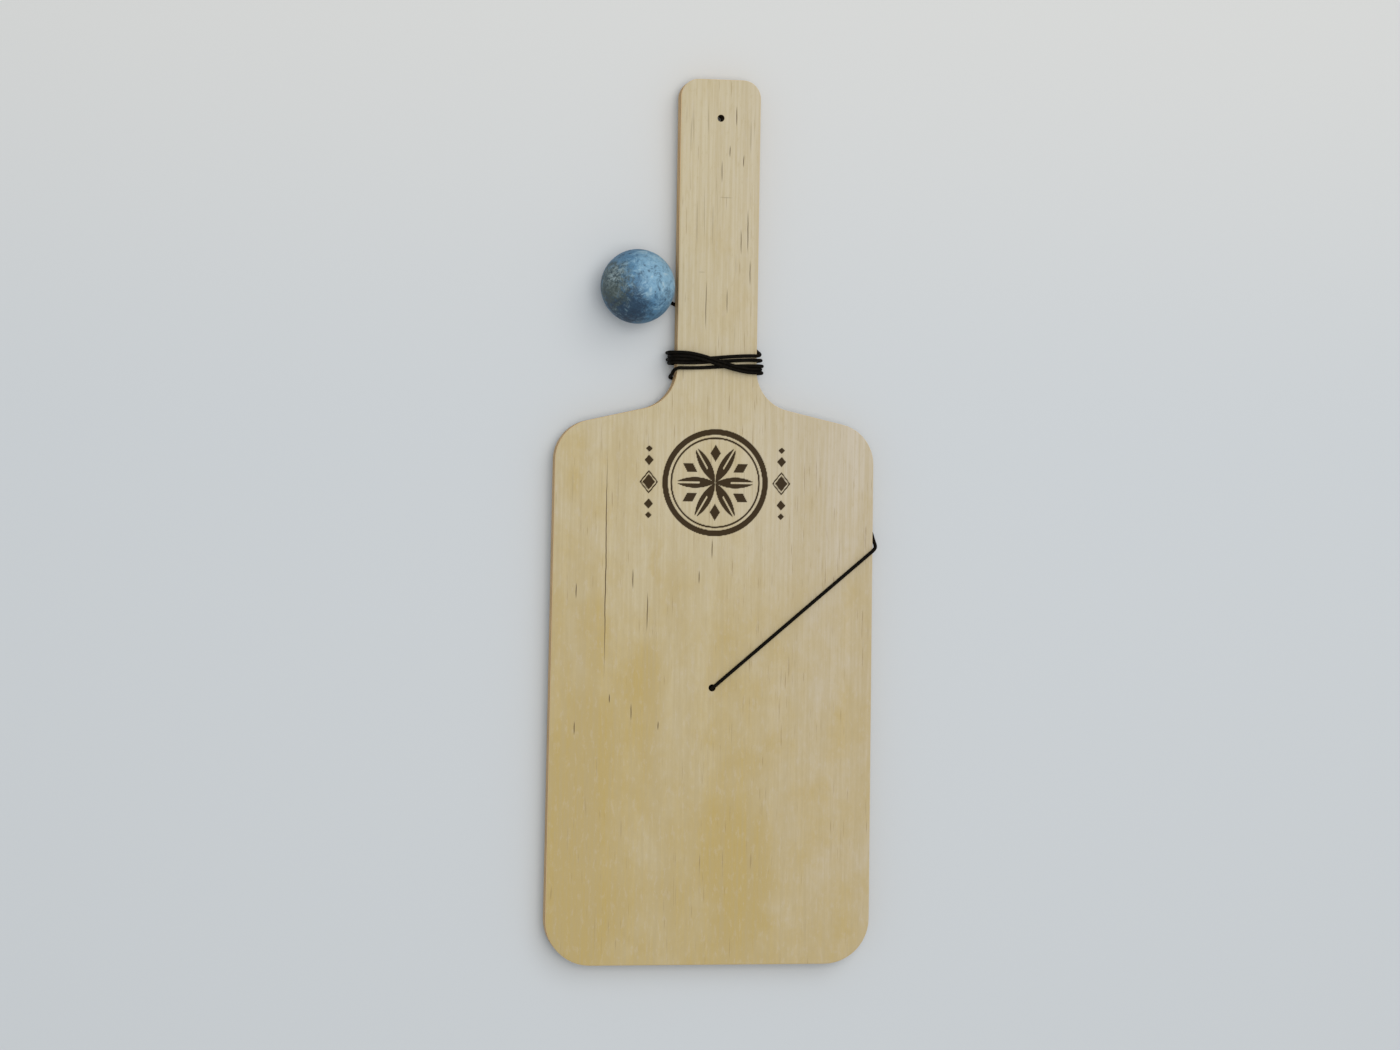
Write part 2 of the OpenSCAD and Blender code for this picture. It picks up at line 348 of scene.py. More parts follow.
def new_material(name: str, rough: float,
                 gloss: float = 0.5) -> tuple[bpy.types.Material, Tree, bpy.types.Node]:
    """Makes a material with its shader.

    Args:
        name: Name of the material.
        rough: Roughness that is the same all over.
        gloss: Strength of its sheen at right angles; 0.5 is common plastic.

    Returns:
        The material, its tree and its Principled BSDF.
    """
    material = bpy.data.materials.new(name)
    material.use_nodes = True
    shader = material.node_tree.nodes["Principled BSDF"]
    shader.inputs["Roughness"].default_value = rough
    shader.inputs["Specular IOR Level"].default_value = gloss
    return material, Tree(material.node_tree), shader


def new_group(name: str, inputs: dict[str, str], outputs: dict[str, str]) -> tuple[Tree, dict, dict]:
    """Makes an empty shader node group with named sockets.

    Args:
        name: Name of the group.
        inputs: Names of the inputs, each with its kind: Float or Vector.
        outputs: Names of the outputs, each with its kind.

    Returns:
        The tree, the sockets that give the inputs, and the sockets that take the outputs.
    """
    group = bpy.data.node_groups.new(name, "ShaderNodeTree")
    for sockets, way in ((inputs, "INPUT"), (outputs, "OUTPUT")):
        for key, kind in sockets.items():
            group.interface.new_socket(name=key, in_out=way, socket_type="NodeSocket" + kind)
    tree = Tree(group)
    given = tree.node("NodeGroupInput").outputs
    taken = tree.node("NodeGroupOutput").inputs
    return tree, {key: given[key] for key in inputs}, {key: taken[key] for key in outputs}


def grain_group() -> bpy.types.NodeTree:
    """Builds the group that draws wood grain along Y.

    Returns:
        A group that gives the tone of the growth bands, the fine fibres and the dark pores.
    """
    outputs = {"Bands": "Float", "Fibres": "Float", "Pores": "Float"}
    tree, given, taken = new_group("wood_grain", {"Position": "Vector"}, outputs)
    place = given["Position"]
    bands = tree.noise(tree.scaled(place, 1, 0.035, 1), 95, 3, 0.6, 0.3)
    fibres = tree.noise(tree.scaled(place, 1, 0.022, 1), 900, 3, 0.6)
    pores = tree.noise(tree.scaled(place, 1, 0.03, 1), 2300, 1, 0.5)
    tree.feed(taken["Bands"], tree.step(bands, 0.3, 0.7))
    tree.feed(taken["Fibres"], tree.step(fibres, 0.3, 0.7))
    tree.feed(taken["Pores"], tree.step(pores, 0.68, 0.78))
    return tree.tree


def mark_group() -> bpy.types.NodeTree:
    """Builds the group that draws one long soft mark, such as a streak, a crack or a stain.

    Returns:
        A group that is 1 in the middle of an ellipse and falls to 0 at its rim.
    """
    numbers = ("X", "Y", "Half width", "Half length", "Waver", "Core")
    inputs = {"Position": "Vector", **dict.fromkeys(numbers, "Float")}
    tree, given, taken = new_group("wood_mark", inputs, {"Mask": "Float"})
    parts = tree.parts(given["Position"])
    waver = tree.math("SUBTRACT", tree.noise(tree.scaled(given["Position"], 0.6, 1, 1), 90, 2), 0.5)
    x = tree.math("SUBTRACT", parts[0], given["X"])
    x = tree.math("MULTIPLY_ADD", waver, given["Waver"], x)
    across = tree.math("DIVIDE", x, given["Half width"])
    along = tree.math("DIVIDE", tree.math("SUBTRACT", parts[1], given["Y"]), given["Half length"])
    reach = tree.math("ADD", tree.math("MULTIPLY", across, across), tree.math("MULTIPLY", along, along))
    fade = tree.math("DIVIDE", tree.math("SUBTRACT", 1.0, reach), tree.math("SUBTRACT", 1.0, given["Core"]))
    tree.feed(taken["Mask"], tree.step(fade, 0.0, 1.0))
    return tree.tree


@dataclass(frozen=True)
class Mark:
    """One mark in the wood: its middle, its half width and half length, and its strength."""

    x: float
    y: float
    half_width: float
    half_length: float
    strength: float = 1.0


@dataclass(frozen=True)
class VeneerFinish:
    """Bare sanded veneer."""

    name: str
    light: tuple
    dark: tuple
    pore: tuple
    grain: Grain
    rough: float = 0.62
    burn: tuple = colour(46, 30, 6)

    def grain_nodes(self, tree: Tree, grain: bpy.types.NodeTree) -> tuple:
        """Places the grain group.

        Args:
            tree: The material's tree.
            grain: The shared grain group.

        Returns:
            The place that the grain is read at, and the group's node.
        """
        place = tree.place()
        if self.grain is Grain.ACROSS:
            turned = {"Vector": place, "Rotation": (0, 0, math.pi / 2)}
            place = tree.node("ShaderNodeMapping", turned).outputs[0]
        node = tree.node("ShaderNodeGroup", node_tree=grain)
        tree.feed(node.inputs["Position"], place)
        return place, node

    def material(self, grain: bpy.types.NodeTree) -> bpy.types.Material:
        """Makes the finish of a veneer that shows at the edges.

        Args:
            grain: Node group of the wood's grain.

        Returns:
            The material.
        """
        material, tree, shader = new_material(self.name, self.rough, 0.25)
        _, node = self.grain_nodes(tree, grain)
        base = tree.layer(self.light, self.dark, node.outputs["Bands"], 0.7)
        base = tree.layer(base, self.dark, node.outputs["Fibres"], 0.45)
        base = tree.layer(base, self.pore, node.outputs["Pores"], 0.6)
        # Darkens the holes' walls, whose points carry the burn attribute.
        base = tree.layer(base, self.burn, tree.value("burn"), 0.9)
        tree.feed(shader.inputs["Base Color"], base)
        tree.feed(shader.inputs["Normal"], tree.bump(node.outputs["Fibres"], 0.5, 0.06 * MM))
        return material


@dataclass(frozen=True)
class FaceFinish(VeneerFinish):
    """Face veneer with its stains, streaks and cracks, and the burned ornament.

    Its eased edges and sides take a paler tone, raised into a painted highlight.
    """

    golden: tuple = colour(183, 160, 101)
    pale: tuple = colour(197, 186, 168)
    crack: tuple = colour(88, 72, 52)
    # Paler tone of the eased edges and sides: the veneer's own edge, raised into a painted highlight.
    edge: tuple = colour(241, 206, 151)
    stains: tuple = ()
    cracks: tuple = ()

    def marks(self, tree: Tree, place: object, group: bpy.types.NodeTree, marks: tuple,
              waver: float, core: float) -> bpy.types.NodeSocket:
        """Draws a set of marks as one mask.

        Args:
            tree: The material's tree.
            place: Place that is looked up.
            group: The shared mark group.
            marks: The marks, each placed in the frame of the model.
            waver: How far their sides wander.
            core: Share of each mark that is at full strength, squared.

        Returns:
            The strongest of the marks at each place.
        """
        mask = None
        for mark in marks:
            node = tree.node("ShaderNodeGroup", node_tree=group)
            tree.feed(node.inputs["Position"], place)
            for key, value in (("X", mark.x), ("Y", mark.y), ("Half width", mark.half_width),
                               ("Half length", mark.half_length), ("Waver", waver), ("Core", core)):
                node.inputs[key].default_value = value
            drawn = tree.math("MULTIPLY", node.outputs["Mask"], mark.strength)
            mask = drawn if mask is None else tree.math("MAXIMUM", mask, drawn)
        return mask

    def face_material(self, grain: bpy.types.NodeTree, mark: bpy.types.NodeTree) -> bpy.types.Material:
        """Makes the finish of the two outer veneers.

        Args:
            grain: The shared grain group.
            mark: The shared mark group.

        Returns:
            The material.
        """
        material, tree, shader = new_material(self.name, self.rough, 0.08)
        place, node = self.grain_nodes(tree, grain)
        x, y, _ = tree.parts(place)
        cloud = tree.noise(tree.scaled(place, 1, 0.6, 1), 21, 5, 0.62, 0.2)
        drift = tree.math("SUBTRACT", cloud, 0.5)
        mottle = tree.math("SUBTRACT", tree.noise(tree.scaled(place, 1, 0.7, 1), 75, 4, 0.65, 0.3), 0.5)
        base = tree.layer(self.light, self.pale, tree.step(x, -0.01, 0.065), 0.85)
        gold = tree.math("MULTIPLY_ADD", tree.step(y, 0.10, -0.18), 0.7, tree.math("MULTIPLY", drift, 1.6))
        left = tree.math("MULTIPLY", tree.step(x, 0.01, -0.065), tree.step(y, 0.05, -0.04))
        gold = tree.math("MULTIPLY_ADD", left, 0.34, gold)
        gold = tree.math("MULTIPLY_ADD", tree.step(x, 0.0, 0.065), -0.2, gold)
        gold = tree.math("MULTIPLY_ADD", mottle, 0.85, gold)
        if self.stains:
            placed = self.marks(tree, place, mark, self.stains, 9 * MM, 0.0)
            patchy = tree.math("MULTIPLY_ADD", drift, 1.6, 0.9)
            gold = tree.math("MULTIPLY_ADD", placed, tree.math("MULTIPLY", patchy, 0.5), gold)
        base = tree.mix(base, self.golden, tree.step(gold, -0.15, 1.1))
        base = tree.layer(base, self.dark, node.outputs["Bands"], 0.26)
        base = tree.layer(base, self.dark, node.outputs["Fibres"], 0.5)
        patches = tree.noise(tree.scaled(place, 1, 0.5, 1), 48, 2, 0.5)
        pored = tree.math("MULTIPLY", node.outputs["Pores"], tree.step(patches, 0.38, 0.62))
        base = tree.layer(base, self.pore, pored, 0.75)
        hair = tree.step(tree.noise(tree.scaled(place, 1, 0.03, 1), 1250, 0), 0.75, 0.85)
        hair = tree.math("MULTIPLY", hair, tree.step(y, -0.05, 0.08))
        base = tree.layer(base, self.crack, hair, 0.3)
        fleck = tree.noise(tree.scaled(place, 1, 0.3, 1), 520, 4, 0.72)
        base = tree.layer(base, self.dark, tree.step(fleck, 0.52, 0.72), 0.38)
        base = tree.layer(base, self.pale, tree.step(fleck, 0.48, 0.34), 0.22)
        if self.cracks:
            base = tree.mix(base, self.crack, self.marks(tree, place, mark, self.cracks, 0.9 * MM, 0.2))
        # Painted highlight along the eased edges and sides, where the surface turns away from upward.
        normal = tree.node("ShaderNodeTexCoord").outputs["Normal"]
        upward = tree.math("ABSOLUTE", tree.parts(normal)[2])
        base = tree.layer(base, self.edge, tree.step(upward, 0.95, 0.4), 0.85)
        burned = tree.step(tree.math("MULTIPLY_ADD", drift, 0.4, tree.value("burn")), 0.2, 0.75)
        base = tree.layer(base, self.burn, burned, 0.97)
        tree.feed(shader.inputs["Base Color"], base)
        height = tree.math("MULTIPLY_ADD", node.outputs["Pores"], -1.2, node.outputs["Fibres"])
        tree.feed(shader.inputs["Normal"], tree.bump(height, 0.35, 0.05 * MM))
        tree.feed(shader.inputs["Roughness"], tree.math("MULTIPLY_ADD", cloud, 0.2, self.rough - 0.1))
        return material


@dataclass(frozen=True)
class CordFinish:
    """Black braided sleeve, with a painted highlight where its threads stand out."""

    name: str = "elastic_braid"
    low: tuple = colour(4, 3, 2)
    # Colour of the painted highlight on the threads' crowns.
    high: tuple = colour(40, 33, 23)
    rough: float = 0.7

    def material(self) -> bpy.types.Material:
        """Makes the finish.

        Returns:
            The material, which reads how far each thread stands out.
        """
        material, tree, shader = new_material(self.name, self.rough, 0.06)
        place = tree.place()
        thread_noise = tree.noise(place, 900, 3, 0.6)
        # The painted highlight on the crowns comes in patches that follow the thread noise.
        worn = tree.step(thread_noise, 0.25, 0.75)
        crown = tree.math("MULTIPLY", tree.step(tree.value("crown"), 0.35, 1.0), worn)
        tree.feed(shader.inputs["Base Color"], tree.mix(self.low, self.high, crown))
        tree.feed(shader.inputs["Normal"], tree.bump(thread_noise, 0.4, 0.04 * MM))
        return material


@dataclass(frozen=True)
class BallFinish:
    """Scuffed blue rubber, mottled with navy and pale blue.

    Pale blue and scuff are painted light on the side that faces the key lamp, and navy and
    grey-green are painted shade towards the lower left and the left.
    """

    name: str = "scuffed_rubber"
    blue: tuple = colour(80, 122, 152)
    navy: tuple = colour(26, 46, 66)
    pale: tuple = colour(142, 182, 204)
    # Grey-green painted shade on the left side, away from the lamps.
    green: tuple = colour(70, 80, 72)
    scuff: tuple = colour(170, 188, 190)
    rough: float = 0.6

    def material(self, centre: np.ndarray, radius: float) -> bpy.types.Material:
        """Makes the finish around the ball's centre.

        Args:
            centre: Centre of the ball.
            radius: Radius of the ball.

        Returns:
            The material.
        """
        material, tree, shader = new_material(self.name, self.rough, 0.35)
        place = tree.place()
        away = {0: place, 1: tuple(centre)}
        out = tree.node("ShaderNodeVectorMath", away, operation="SUBTRACT").outputs[0]
        out = tree.scaled(out, *[1 / radius] * 3)
        cloud = tree.noise(out, 2.2, 5, 0.66, 0.4)
        mottle = tree.noise(out, 6.5, 5, 0.7, 0.3)
        speck = tree.noise(out, 26, 3, 0.65)
        fleck = tree.noise(out, 11, 6, 0.75, 0.2)
        patch = tree.noise(out, 3.6, 6, 0.72, 0.8)
        lines = tree.noise(tree.scaled(out, 1, 7, 2.5), 9, 3, 0.7)

        def towards(direction: tuple[float, float, float], low: float, high: float) -> bpy.types.NodeSocket:
            """Smooth step of how far the skin faces a direction, broken up by the mottling."""
            node = tree.node("ShaderNodeVectorMath", {0: out, 1: tuple(unit(np.array(direction)))},
                             operation="DOT_PRODUCT")
            return tree.step(tree.math("MULTIPLY_ADD", mottle, 0.9, node.outputs["Value"]), low, high)

        def both(a: bpy.types.NodeSocket, b: bpy.types.NodeSocket) -> bpy.types.NodeSocket:
            """Product of two masks."""
            return tree.math("MULTIPLY", a, b)

        # Painted light: pale blue and scuff on the side that faces the key lamp.
        right = towards((0.62, 0.4, 0.68), 0.95, 1.4)
        lit_side_wide = towards((0.62, 0.4, 0.68), 0.6, 1.1)
        layers = (
            # Painted shade: navy towards the lower left and grey-green towards the left.
            (self.navy, towards((-0.5, -0.6, 0.62), 1.02, 1.36), 0.85),
            (self.pale, right, 0.68),
            (self.green, towards((-0.85, 0.05, 0.5), 1.1, 1.42), 0.85),
            (self.pale, both(lit_side_wide, tree.step(patch, 0.50, 0.64)), 0.5),
            (self.scuff, tree.step(patch, 0.52, 0.66), 0.16),
            (self.navy, tree.step(patch, 0.45, 0.37), 0.5),
            (self.scuff, both(right, tree.step(patch, 0.54, 0.66)), 0.5),
            (self.pale, tree.step(mottle, 0.58, 0.74), 0.4),
            (self.navy, both(tree.step(fleck, 0.45, 0.36), tree.step(patch, 0.58, 0.5)), 0.55),
            (self.pale, both(tree.step(fleck, 0.56, 0.66), tree.step(patch, 0.47, 0.55)), 0.35),
            (self.scuff, tree.step(lines, 0.66, 0.76), 0.5),
            (self.scuff, both(tree.step(speck, 0.68, 0.76), tree.step(mottle, 0.52, 0.62)), 0.55),
            (self.scuff, both(tree.value("worn"), tree.step(fleck, 0.42, 0.6)), 0.7),
            (self.navy, tree.value("pit"), 0.9))
        base = tree.mix(self.navy, self.blue, tree.step(cloud, 0.28, 0.50))
        for tint, mask, share in layers:
            base = tree.layer(base, tint, mask, share)
        tree.feed(shader.inputs["Base Color"], base)
        tree.feed(shader.inputs["Roughness"], tree.math("MULTIPLY_ADD", mottle, 0.4, self.rough - 0.2))
        height = tree.math("MULTIPLY_ADD", speck, 0.6, lines)
        tree.feed(shader.inputs["Normal"], tree.bump(height, 0.35, 0.1 * MM))
        return material


@dataclass(frozen=True)
class Braid:
    """Round braid of the cord's sleeve: how many threads wind each way, and how steeply."""

    threads: int = 6
    lay_deg: float = 45.0
    sides: int = 30
    step: float = 0.2 * MM
    depth_share: float = 0.09

    def crown(self, angle: np.ndarray, along: np.ndarray, radius: float) -> np.ndarray:
        """Height of the threads, from 0 between them to 1 on a crossing's upper thread.

        Two sets of cosine ridges wind the two ways round the cord. At each crossing the product of
        their half waves lifts one set and lowers the other, in turn, and the higher one shows.

        Args:
            angle: Angles round the cord.
            along: Distances along it.
            radius: The cord's radius.

        Returns:
            The heights, for every pair of angle and distance.
        """
        wind = self.threads * math.tan(math.radians(90 - self.lay_deg)) / radius
        p = (self.threads * angle + wind * along) / 2
        q = (self.threads * angle - wind * along) / 2
        over = 0.25 * np.cos(p) * np.cos(q)
        return np.maximum(np.cos(p) ** 2 * (0.75 + over), np.cos(q) ** 2 * (0.75 - over))


class Cord:
    """One stretch of the braided elastic cord, as a closed tube along a route."""

    def __init__(self, name: str, route: np.ndarray, diameter: float, finish: bpy.types.Material,
                 braid: Braid = Braid(), across: tuple[float, float, float] = (0.0, 1.0, 0.0)) -> None:
        """Builds the tube.

        Each ring's points stand at the cord's radius, less the part of it that the braid's crown
        leaves out, and each end is closed by a flat fan round the end of its middle line.

        Args:
            name: Name of the piece.
            route: Points that the cord's middle runs through.
            diameter: Thickness of the cord.
            finish: Material of the sleeve.
            braid: Form of the braid.
            across: A direction that the route never runs along.
        """
        self.path = smooth_route(np.asarray(route), braid.step)
        self.diameter = diameter
        along = np.concatenate([[0], np.cumsum(np.linalg.norm(np.diff(self.path, axis=0), axis=1))])
        angle = np.linspace(0, TAU, braid.sides, endpoint=False)
        crown = braid.crown(angle[None, :], along[:, None], diameter / 2)
        first, second = ring_frames(self.path, np.asarray(across))
        spread = diameter / 2 * (1 - braid.depth_share + braid.depth_share * crown)
        spoke = (np.cos(angle)[None, :, None] * first[:, None]
                 + np.sin(angle)[None, :, None] * second[:, None])
        rings = self.path[:, None] + spread[..., None] * spoke
        points = np.vstack([rings.reshape(-1, 3), self.path[:1], self.path[-1:]])
        self.piece = mesh_object(name, points, capped_faces(len(rings), braid.sides), finish, 60)
        point_values(self.piece, "crown", np.concatenate([crown.ravel(), [0.2, 0.2]]))


@dataclass
class Neck:
    """The cord round the neck of the bat: its places, and the routes to and from it."""

    cord_d: float = 1.6 * MM
    clear: float = 0.3 * MM
    bend_r: float = 3.2 * MM
    handle_half: float = 17.75 * MM
    hole_y: float = -72.7 * MM
    edge_x: float = 71.3305 * MM
    edge_y: float = -11.0 * MM
    knot_h: float = 3.2 * MM
    turns: int = 5
    sink: float = 0.25 * MM
    settle_share: float = 0.3
    crossing_rise: float = 1.75 * MM
    left_bulge_mm: tuple = (0.2, 0.9, 1.5, 0.8, 1.7)
    right_bulge_mm: tuple = (0.8, 0.2, 0.9, 0.3, 0.0)
    left_mm: tuple = (67.9, 70.2, 71.7, 73.2, 74.7)
    right_mm: tuple = (66.4, 67.9, 69.4, 71.9, 73.8)
    finish: CordFinish = field(default_factory=CordFinish)

    def __post_init__(self) -> None:
        """Works out the levels and places that the routes follow."""
        self.low_z = self.cord_d / 2
        inset = (self.bend_r - self.low_z - self.clear) / math.sqrt(2)
        self.board_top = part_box("front_face_ply")[1][2]
        self.top_z = self.board_top + self.clear + self.low_z
        self.crest_z = self.board_top + self.bend_r - inset
        self.flat_half = self.handle_half - inset
        self.start_y, self.end_y = self.left_mm[0] * MM, self.right_mm[-1] * MM
        self.material = self.finish.material()

    def from_place(self, x: float, y: float, z: float, points: list) -> np.ndarray:
        """Points in millimetres, moved to the place that they are measured from."""
        return np.array([x, y, z]) + np.array(points, float) * MM

    def front_route(self) -> np.ndarray:
        """Route up from the knot, through the cord hole and over the front to the right edge.

        Returns:
            Points of the route, from the knot on.
        """
        return np.vstack([
            self.from_place(0, self.hole_y, self.knot_h, [[-0.45, -0.4, 0]]),
            self.from_place(0, self.hole_y, self.top_z, [
                [-0.45, -0.4, -2], [-0.25, -0.25, -1], [0.3, 0.3, -0.25], [1.05, 0.9, 0]]),
            self.from_place(self.edge_x, self.edge_y, self.top_z, [[-2.78, -2.75, 0]])])

    def back_route(self) -> np.ndarray:
        """Route round the right edge, slantwise behind the blade, and up round the left edge.

        Returns:
            Points of the route, from the front cord's end on.
        """
        return np.vstack([
            self.from_place(self.edge_x, self.edge_y, self.top_z, [
                [-2.78, -2.75, 0], [-2.08, -2.148, 0], [-1.13, -1.3, 0.2], [-0.13, -0.4, 0.2],
                [0.67, 0.4, -0.28], [1.17, 1.1, -1], [1.32, 1.9, -1.85]]),
            self.from_place(self.edge_x, self.edge_y, self.low_z, [
                [1.32, 6.8, 2.5], [1.17, 7.6, 1.65], [0.67, 8.3, 0.95], [-0.13, 9, 0.45],
                [-1.33, 9.9, 0.1], [-2.73, 10.9, 0]]),
            self.from_place(-self.flat_half, self.start_y, self.low_z, [
                [-0.5, -4.6, 0], [-1.6, -4.4, 0.1], [-2.4, -4.2, 0.45], [-2.95, -4.0, 1.1],
                [-3.2, -3.75, 1.9], [-3.25, -3.4, 2.9]]),
            self.from_place(-self.flat_half, self.start_y, self.crest_z, [
                [-3.25, -2.5, -4.4], [-3.15, -1.7, -2.9], [-2.9, -1.1, -1.8], [-2.4, -0.6, -0.9],
                [-1.6, -0.2, -0.25], [-0.74, 0, 0], [0, 0, 0]])])

    def handle_route(self) -> np.ndarray:
        """Route from the last strand round the right edge and up behind the handle.

        Returns:
            Points of the route, from the winding's end to the ball's lead.
        """
        return np.vstack([
            self.from_place(self.flat_half, self.end_y, self.crest_z, [
                [0, 0, 0], [0.5, 0, 0], [1.2, 0.05, -0.2], [2.1, 0.2, -0.8], [2.75, 0.55, -1.8],
                [2.95, 1, -3.2]]),
            self.from_place(self.flat_half, self.end_y, self.low_z, [
                [2.95, 2.2, 3.2], [2.75, 2.6, 1.9], [2.1, 3.2, 0.85], [1.1, 4, 0.2], [0, 4.8, 0]]),
            self.from_place(-self.flat_half, self.end_y, self.low_z, [
                [-1.2, 22.3, 0], [-2.3, 22.8, 0.2], [-3.3, 23.2, 0.7]])])

    def slots(self) -> tuple[np.ndarray, np.ndarray]:
        """Places of each strand among the others at the left and the right edge."""
        strand = np.arange(self.turns)
        return (3 * strand) % self.turns, (3 * strand + 2) % self.turns

    def front_pass(self, i: int) -> np.ndarray:
        """One strand's way across the front.

        It eases from its height at the left to its height at the right and settles onto the face
        between the two edges. One that crosses the others rises over them as half a sine wave.

        Args:
            i: Number of the strand.

        Returns:
            Points from the left crest to the right one.
        """
        left, right = (slots[i] for slots in self.slots())
        t = np.linspace(0, 1, 17)
        y = self.left_mm[left] * MM + (self.right_mm[right] - self.left_mm[left]) * MM * ease(t)
        near = np.minimum(t, 1 - t) / self.settle_share
        z = self.crest_z + (self.top_z - self.sink - self.crest_z) * ease(near)
        if left >= self.turns - 2:
            z = z + self.crossing_rise * np.sin(math.pi / 2 * np.minimum(1, near))
        x = np.linspace(-self.flat_half, self.flat_half, len(t))
        return np.stack([x, y, z], 1)

    def back_pass(self, i: int) -> np.ndarray:
        """One strand's way from the right edge behind the neck to its next place at the left.

        Each edge is turned in two quarters of an ellipse, wider where the strand rides on others, and
        the level stretch between eases over.

        Args:
            i: Number of the strand that it comes from.

        Returns:
            Points after the right crest and before the next left one.
        """
        right, left = self.slots()[1][i], self.slots()[0][i + 1]
        from_y, to_y = self.right_mm[right] * MM, self.left_mm[left] * MM
        wide_right = self.bend_r + self.right_bulge_mm[right] * MM
        wide_left = self.bend_r + self.left_bulge_mm[left] * MM
        quarter = np.radians(np.arange(15, 91, 15))
        top, low = self.crest_z - self.bend_r, self.low_z + self.bend_r

        def bend(x: float, y: float, z: float, wide: float, angles: np.ndarray) -> np.ndarray:
            """Points of a bend in the XZ plane, as part of an ellipse."""
            return np.stack([x + wide * np.cos(angles), np.full(len(angles), y),
                             z + self.bend_r * np.sin(angles)], 1)

        t = np.linspace(0, 1, 9)[1:-1]
        flat = np.stack([self.flat_half * (1 - 2 * t), from_y + (to_y - from_y) * ease(t),
                         np.full(len(t), self.low_z)], 1)
        down, up = math.pi / 2 - quarter, math.pi - np.concatenate([[0], quarter[:-1]])
        under = -np.concatenate([[0], quarter])
        return np.vstack([
            bend(self.flat_half, from_y, top, wide_right, down),
            bend(self.flat_half, from_y, low, wide_right, under),
            flat,
            bend(-self.flat_half, to_y, low, wide_left, -math.pi / 2 + under),
            bend(-self.flat_half, to_y, top, wide_left, up)])

    def winding_route(self) -> np.ndarray:
        """Route of the whole winding, strand after strand.

        Returns:
            Points of the route, front and back passes in turn.
        """
        passes = [part for i in range(self.turns)
                  for part in ((self.front_pass(i), self.back_pass(i)) if i < self.turns - 1
                               else (self.front_pass(i),))]
        return np.vstack(passes)

    def build(self) -> None:
        """Makes the four stretches that stay on the bat."""
        stretches = (("front_cord_braid", "front_cord", self.front_route(), Lay.TAUT),
                     ("back_cord_braid", "back_cord", self.back_route(), Lay.TAUT),
                     ("neck_winding_braid", "neck_winding", self.winding_route(), Lay.COILED),
                     ("handle_lead_braid", "handle_lead", self.handle_route(), Lay.TAUT))
        for name, node, route, lay in stretches:
            cord = Cord(name, route, self.cord_d, self.material)
            settle(cord.piece, "bat", node)


@dataclass
class Lead:
    """The stretch of cord from the edge of the handle into the ball."""

    neck: Neck
    ball_centre: np.ndarray
    ball_r: float
    inside: float = 8.95 * MM

    def __post_init__(self) -> None:
        """Finds the stretch's root, direction and reach."""
        self.root = self.neck.handle_route()[-1]
        self.reach = float(np.linalg.norm(self.ball_centre - self.root))
        self.way = (self.ball_centre - self.root) / self.reach

    def build(self) -> None:
        """Makes the stretch, which bends off from the cord behind the handle."""
        behind = unit(self.root - self.neck.handle_route()[-2])
        route = np.vstack([
            self.root - 0.4 * MM * behind,
            self.root + 0.5 * MM * self.way,
            self.ball_centre + self.inside * self.way])
        cord = Cord("ball_lead_braid", route, self.neck.cord_d, self.neck.material)
        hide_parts("ball_lead")
        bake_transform(cord.piece)


@dataclass
class Knot:
    """An overhand knot drawn up tight in the cord, with its cut end."""

    name: str
    node: str
    body: str
    centre: np.ndarray
    axis: np.ndarray
    width: float = 5.2 * MM
    height: float = 3.2 * MM
    thread_d: float = 1.3 * MM
    tail: float = 5.0 * MM
    tail_deg: float = 235.0

    def route(self) -> np.ndarray:
        """Route of the knotted cord about its own axis.

        The loops follow a trefoil: x is the sine of t plus twice the sine of 2t, y the cosine of t
        less twice the cosine of 2t, and z the sine of 3t, opened where the two ends leave.

        Returns:
            Points with the knot's axis as Z.
        """
        t = np.linspace(0.10, 0.93, 34) * TAU
        scale = (self.width - self.thread_d) / 6
        rise = (self.height - self.thread_d) / 2
        loops = np.stack([scale * (np.sin(t) + 2 * np.sin(2 * t)), scale * (np.cos(t) - 2 * np.cos(2 * t)),
                          rise * np.sin(3 * t)], 1)
        out = np.array([math.cos(math.radians(self.tail_deg)), math.sin(math.radians(self.tail_deg)), 0])
        ends = np.stack([out * (self.width / 2 + self.tail * share) for share in (0.35, 1.0)])
        return np.vstack([[[0, 0, self.height / 2 - self.thread_d / 2]], loops, ends])

    def build(self, material: bpy.types.Material) -> None:
        """Makes the knot, turned so that its own Z lies along its axis.

        Args:
            material: Finish of the cord.
        """
        third = unit(np.asarray(self.axis, float))
        helper = np.array([1.0, 0, 0]) if abs(third[0]) < 0.9 else np.array([0, 1.0, 0])
        second = unit(np.cross(third, helper))
        turn = np.stack([np.cross(second, third), second, third])
        route = self.route() @ turn + self.centre
        cord = Cord(self.name, route, self.thread_d, material, Braid(sides=18),
                    tuple(third * 0.8 + helper * 0.6))
        settle(cord.piece, self.body, self.node)


